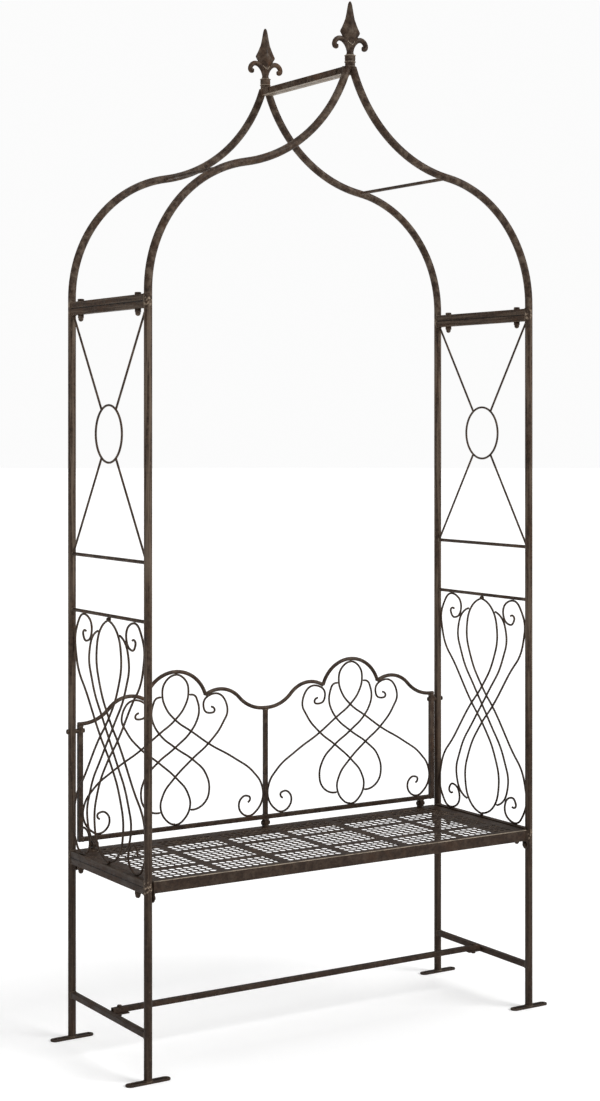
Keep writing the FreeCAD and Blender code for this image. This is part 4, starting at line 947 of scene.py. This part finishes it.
FLOOR_RADIUS, FLOOR_STEPS = 60, 96
FLOOR_ALBEDO, FLOOR_GLOW = 0.90, 0.18
FLOOR_ROUGHNESS, FLOOR_SPECULAR = 0.9, 0.1
SURROUND_SEEN, SURROUND_LIGHT = 0.97, 0.24
# Name, the way the light comes from, strength and angle in degrees.
SUNS = (("key", (0.75, -1.10, 0.90), 2.60, 35), ("fill", (-1.0, -0.45, 0.45), 0.55, 60),
        ("top", (0.1, 0.5, 1.5), 1.20, 80))
CAMERA_PLACE = (-2.513, -3.940, 1.400)
CAMERA_YAW = math.radians(-32.35)
CAMERA_LENS, CAMERA_SENSOR = 65.17, 36
CAMERA_SHIFT = -0.114


def stage_floor():
    """A wide pale floor."""
    bpy.ops.mesh.primitive_circle_add(vertices=FLOOR_STEPS, radius=FLOOR_RADIUS,
                                      fill_type="NGON")
    floor = bpy.context.object
    floor.name = "floor"
    material = bpy.data.materials.new("floor_paint")
    material.use_nodes = True
    inputs = material.node_tree.nodes["Principled BSDF"].inputs
    inputs["Base Color"].default_value = (FLOOR_ALBEDO, FLOOR_ALBEDO, FLOOR_ALBEDO, 1)
    inputs["Roughness"].default_value = FLOOR_ROUGHNESS
    inputs["Specular IOR Level"].default_value = FLOOR_SPECULAR
    inputs["Emission Color"].default_value = (1, 1, 1, 1)
    inputs["Emission Strength"].default_value = FLOOR_GLOW
    floor.data.materials.append(material)


def suns():
    """Wide soft suns: a key, a fill and one from above."""
    for name, source, strength, angle in SUNS:
        light = bpy.data.lights.new(name, "SUN")
        light.energy = strength
        light.angle = math.radians(angle)
        lamp = bpy.data.objects.new(name, light)
        lamp.rotation_mode = "QUATERNION"
        lamp.rotation_quaternion = Vector(source).to_track_quat("Z", "Y")
        bpy.context.scene.collection.objects.link(lamp)


def surround():
    """A surround that the camera sees nearly white, but that lights the object much less."""
    world = bpy.data.worlds.new("studio")
    bpy.context.scene.world = world
    world.use_nodes = True
    tree = world.node_tree
    tree.nodes.clear()
    output = tree.nodes.new("ShaderNodeOutputWorld")
    choose = tree.nodes.new("ShaderNodeMixShader")
    rays = tree.nodes.new("ShaderNodeLightPath")
    tree.links.new(rays.outputs["Is Camera Ray"], choose.inputs["Fac"])
    for socket, level in ((1, SURROUND_LIGHT), (2, SURROUND_SEEN)):
        background = tree.nodes.new("ShaderNodeBackground")
        background.inputs["Color"].default_value = (level, level, level, 1)
        tree.links.new(background.outputs["Background"], choose.inputs[socket])
    tree.links.new(choose.outputs["Shader"], output.inputs["Surface"])
    bpy.context.scene.view_settings.view_transform = "Standard"


def camera():
    """A level camera in front and to the left, lens shifted down to frame the bench."""
    data = bpy.data.cameras.new("camera")
    data.lens = CAMERA_LENS
    data.sensor_width = CAMERA_SENSOR
    data.shift_y = CAMERA_SHIFT
    thing = bpy.data.objects.new("camera", data)
    thing.location = CAMERA_PLACE
    thing.rotation_euler = (math.pi / 2, 0, CAMERA_YAW)
    bpy.context.scene.collection.objects.link(thing)
    bpy.context.scene.camera = thing


chance = random.Random(RANDOM_SEED)
dress_nodes()
stack_fasteners(chance)
small_fasteners(chance)
finials()
frame_welds()
arch_welds()
bench_welds()
wire_welds(chance)
stage_floor()
suns()
surround()
camera()
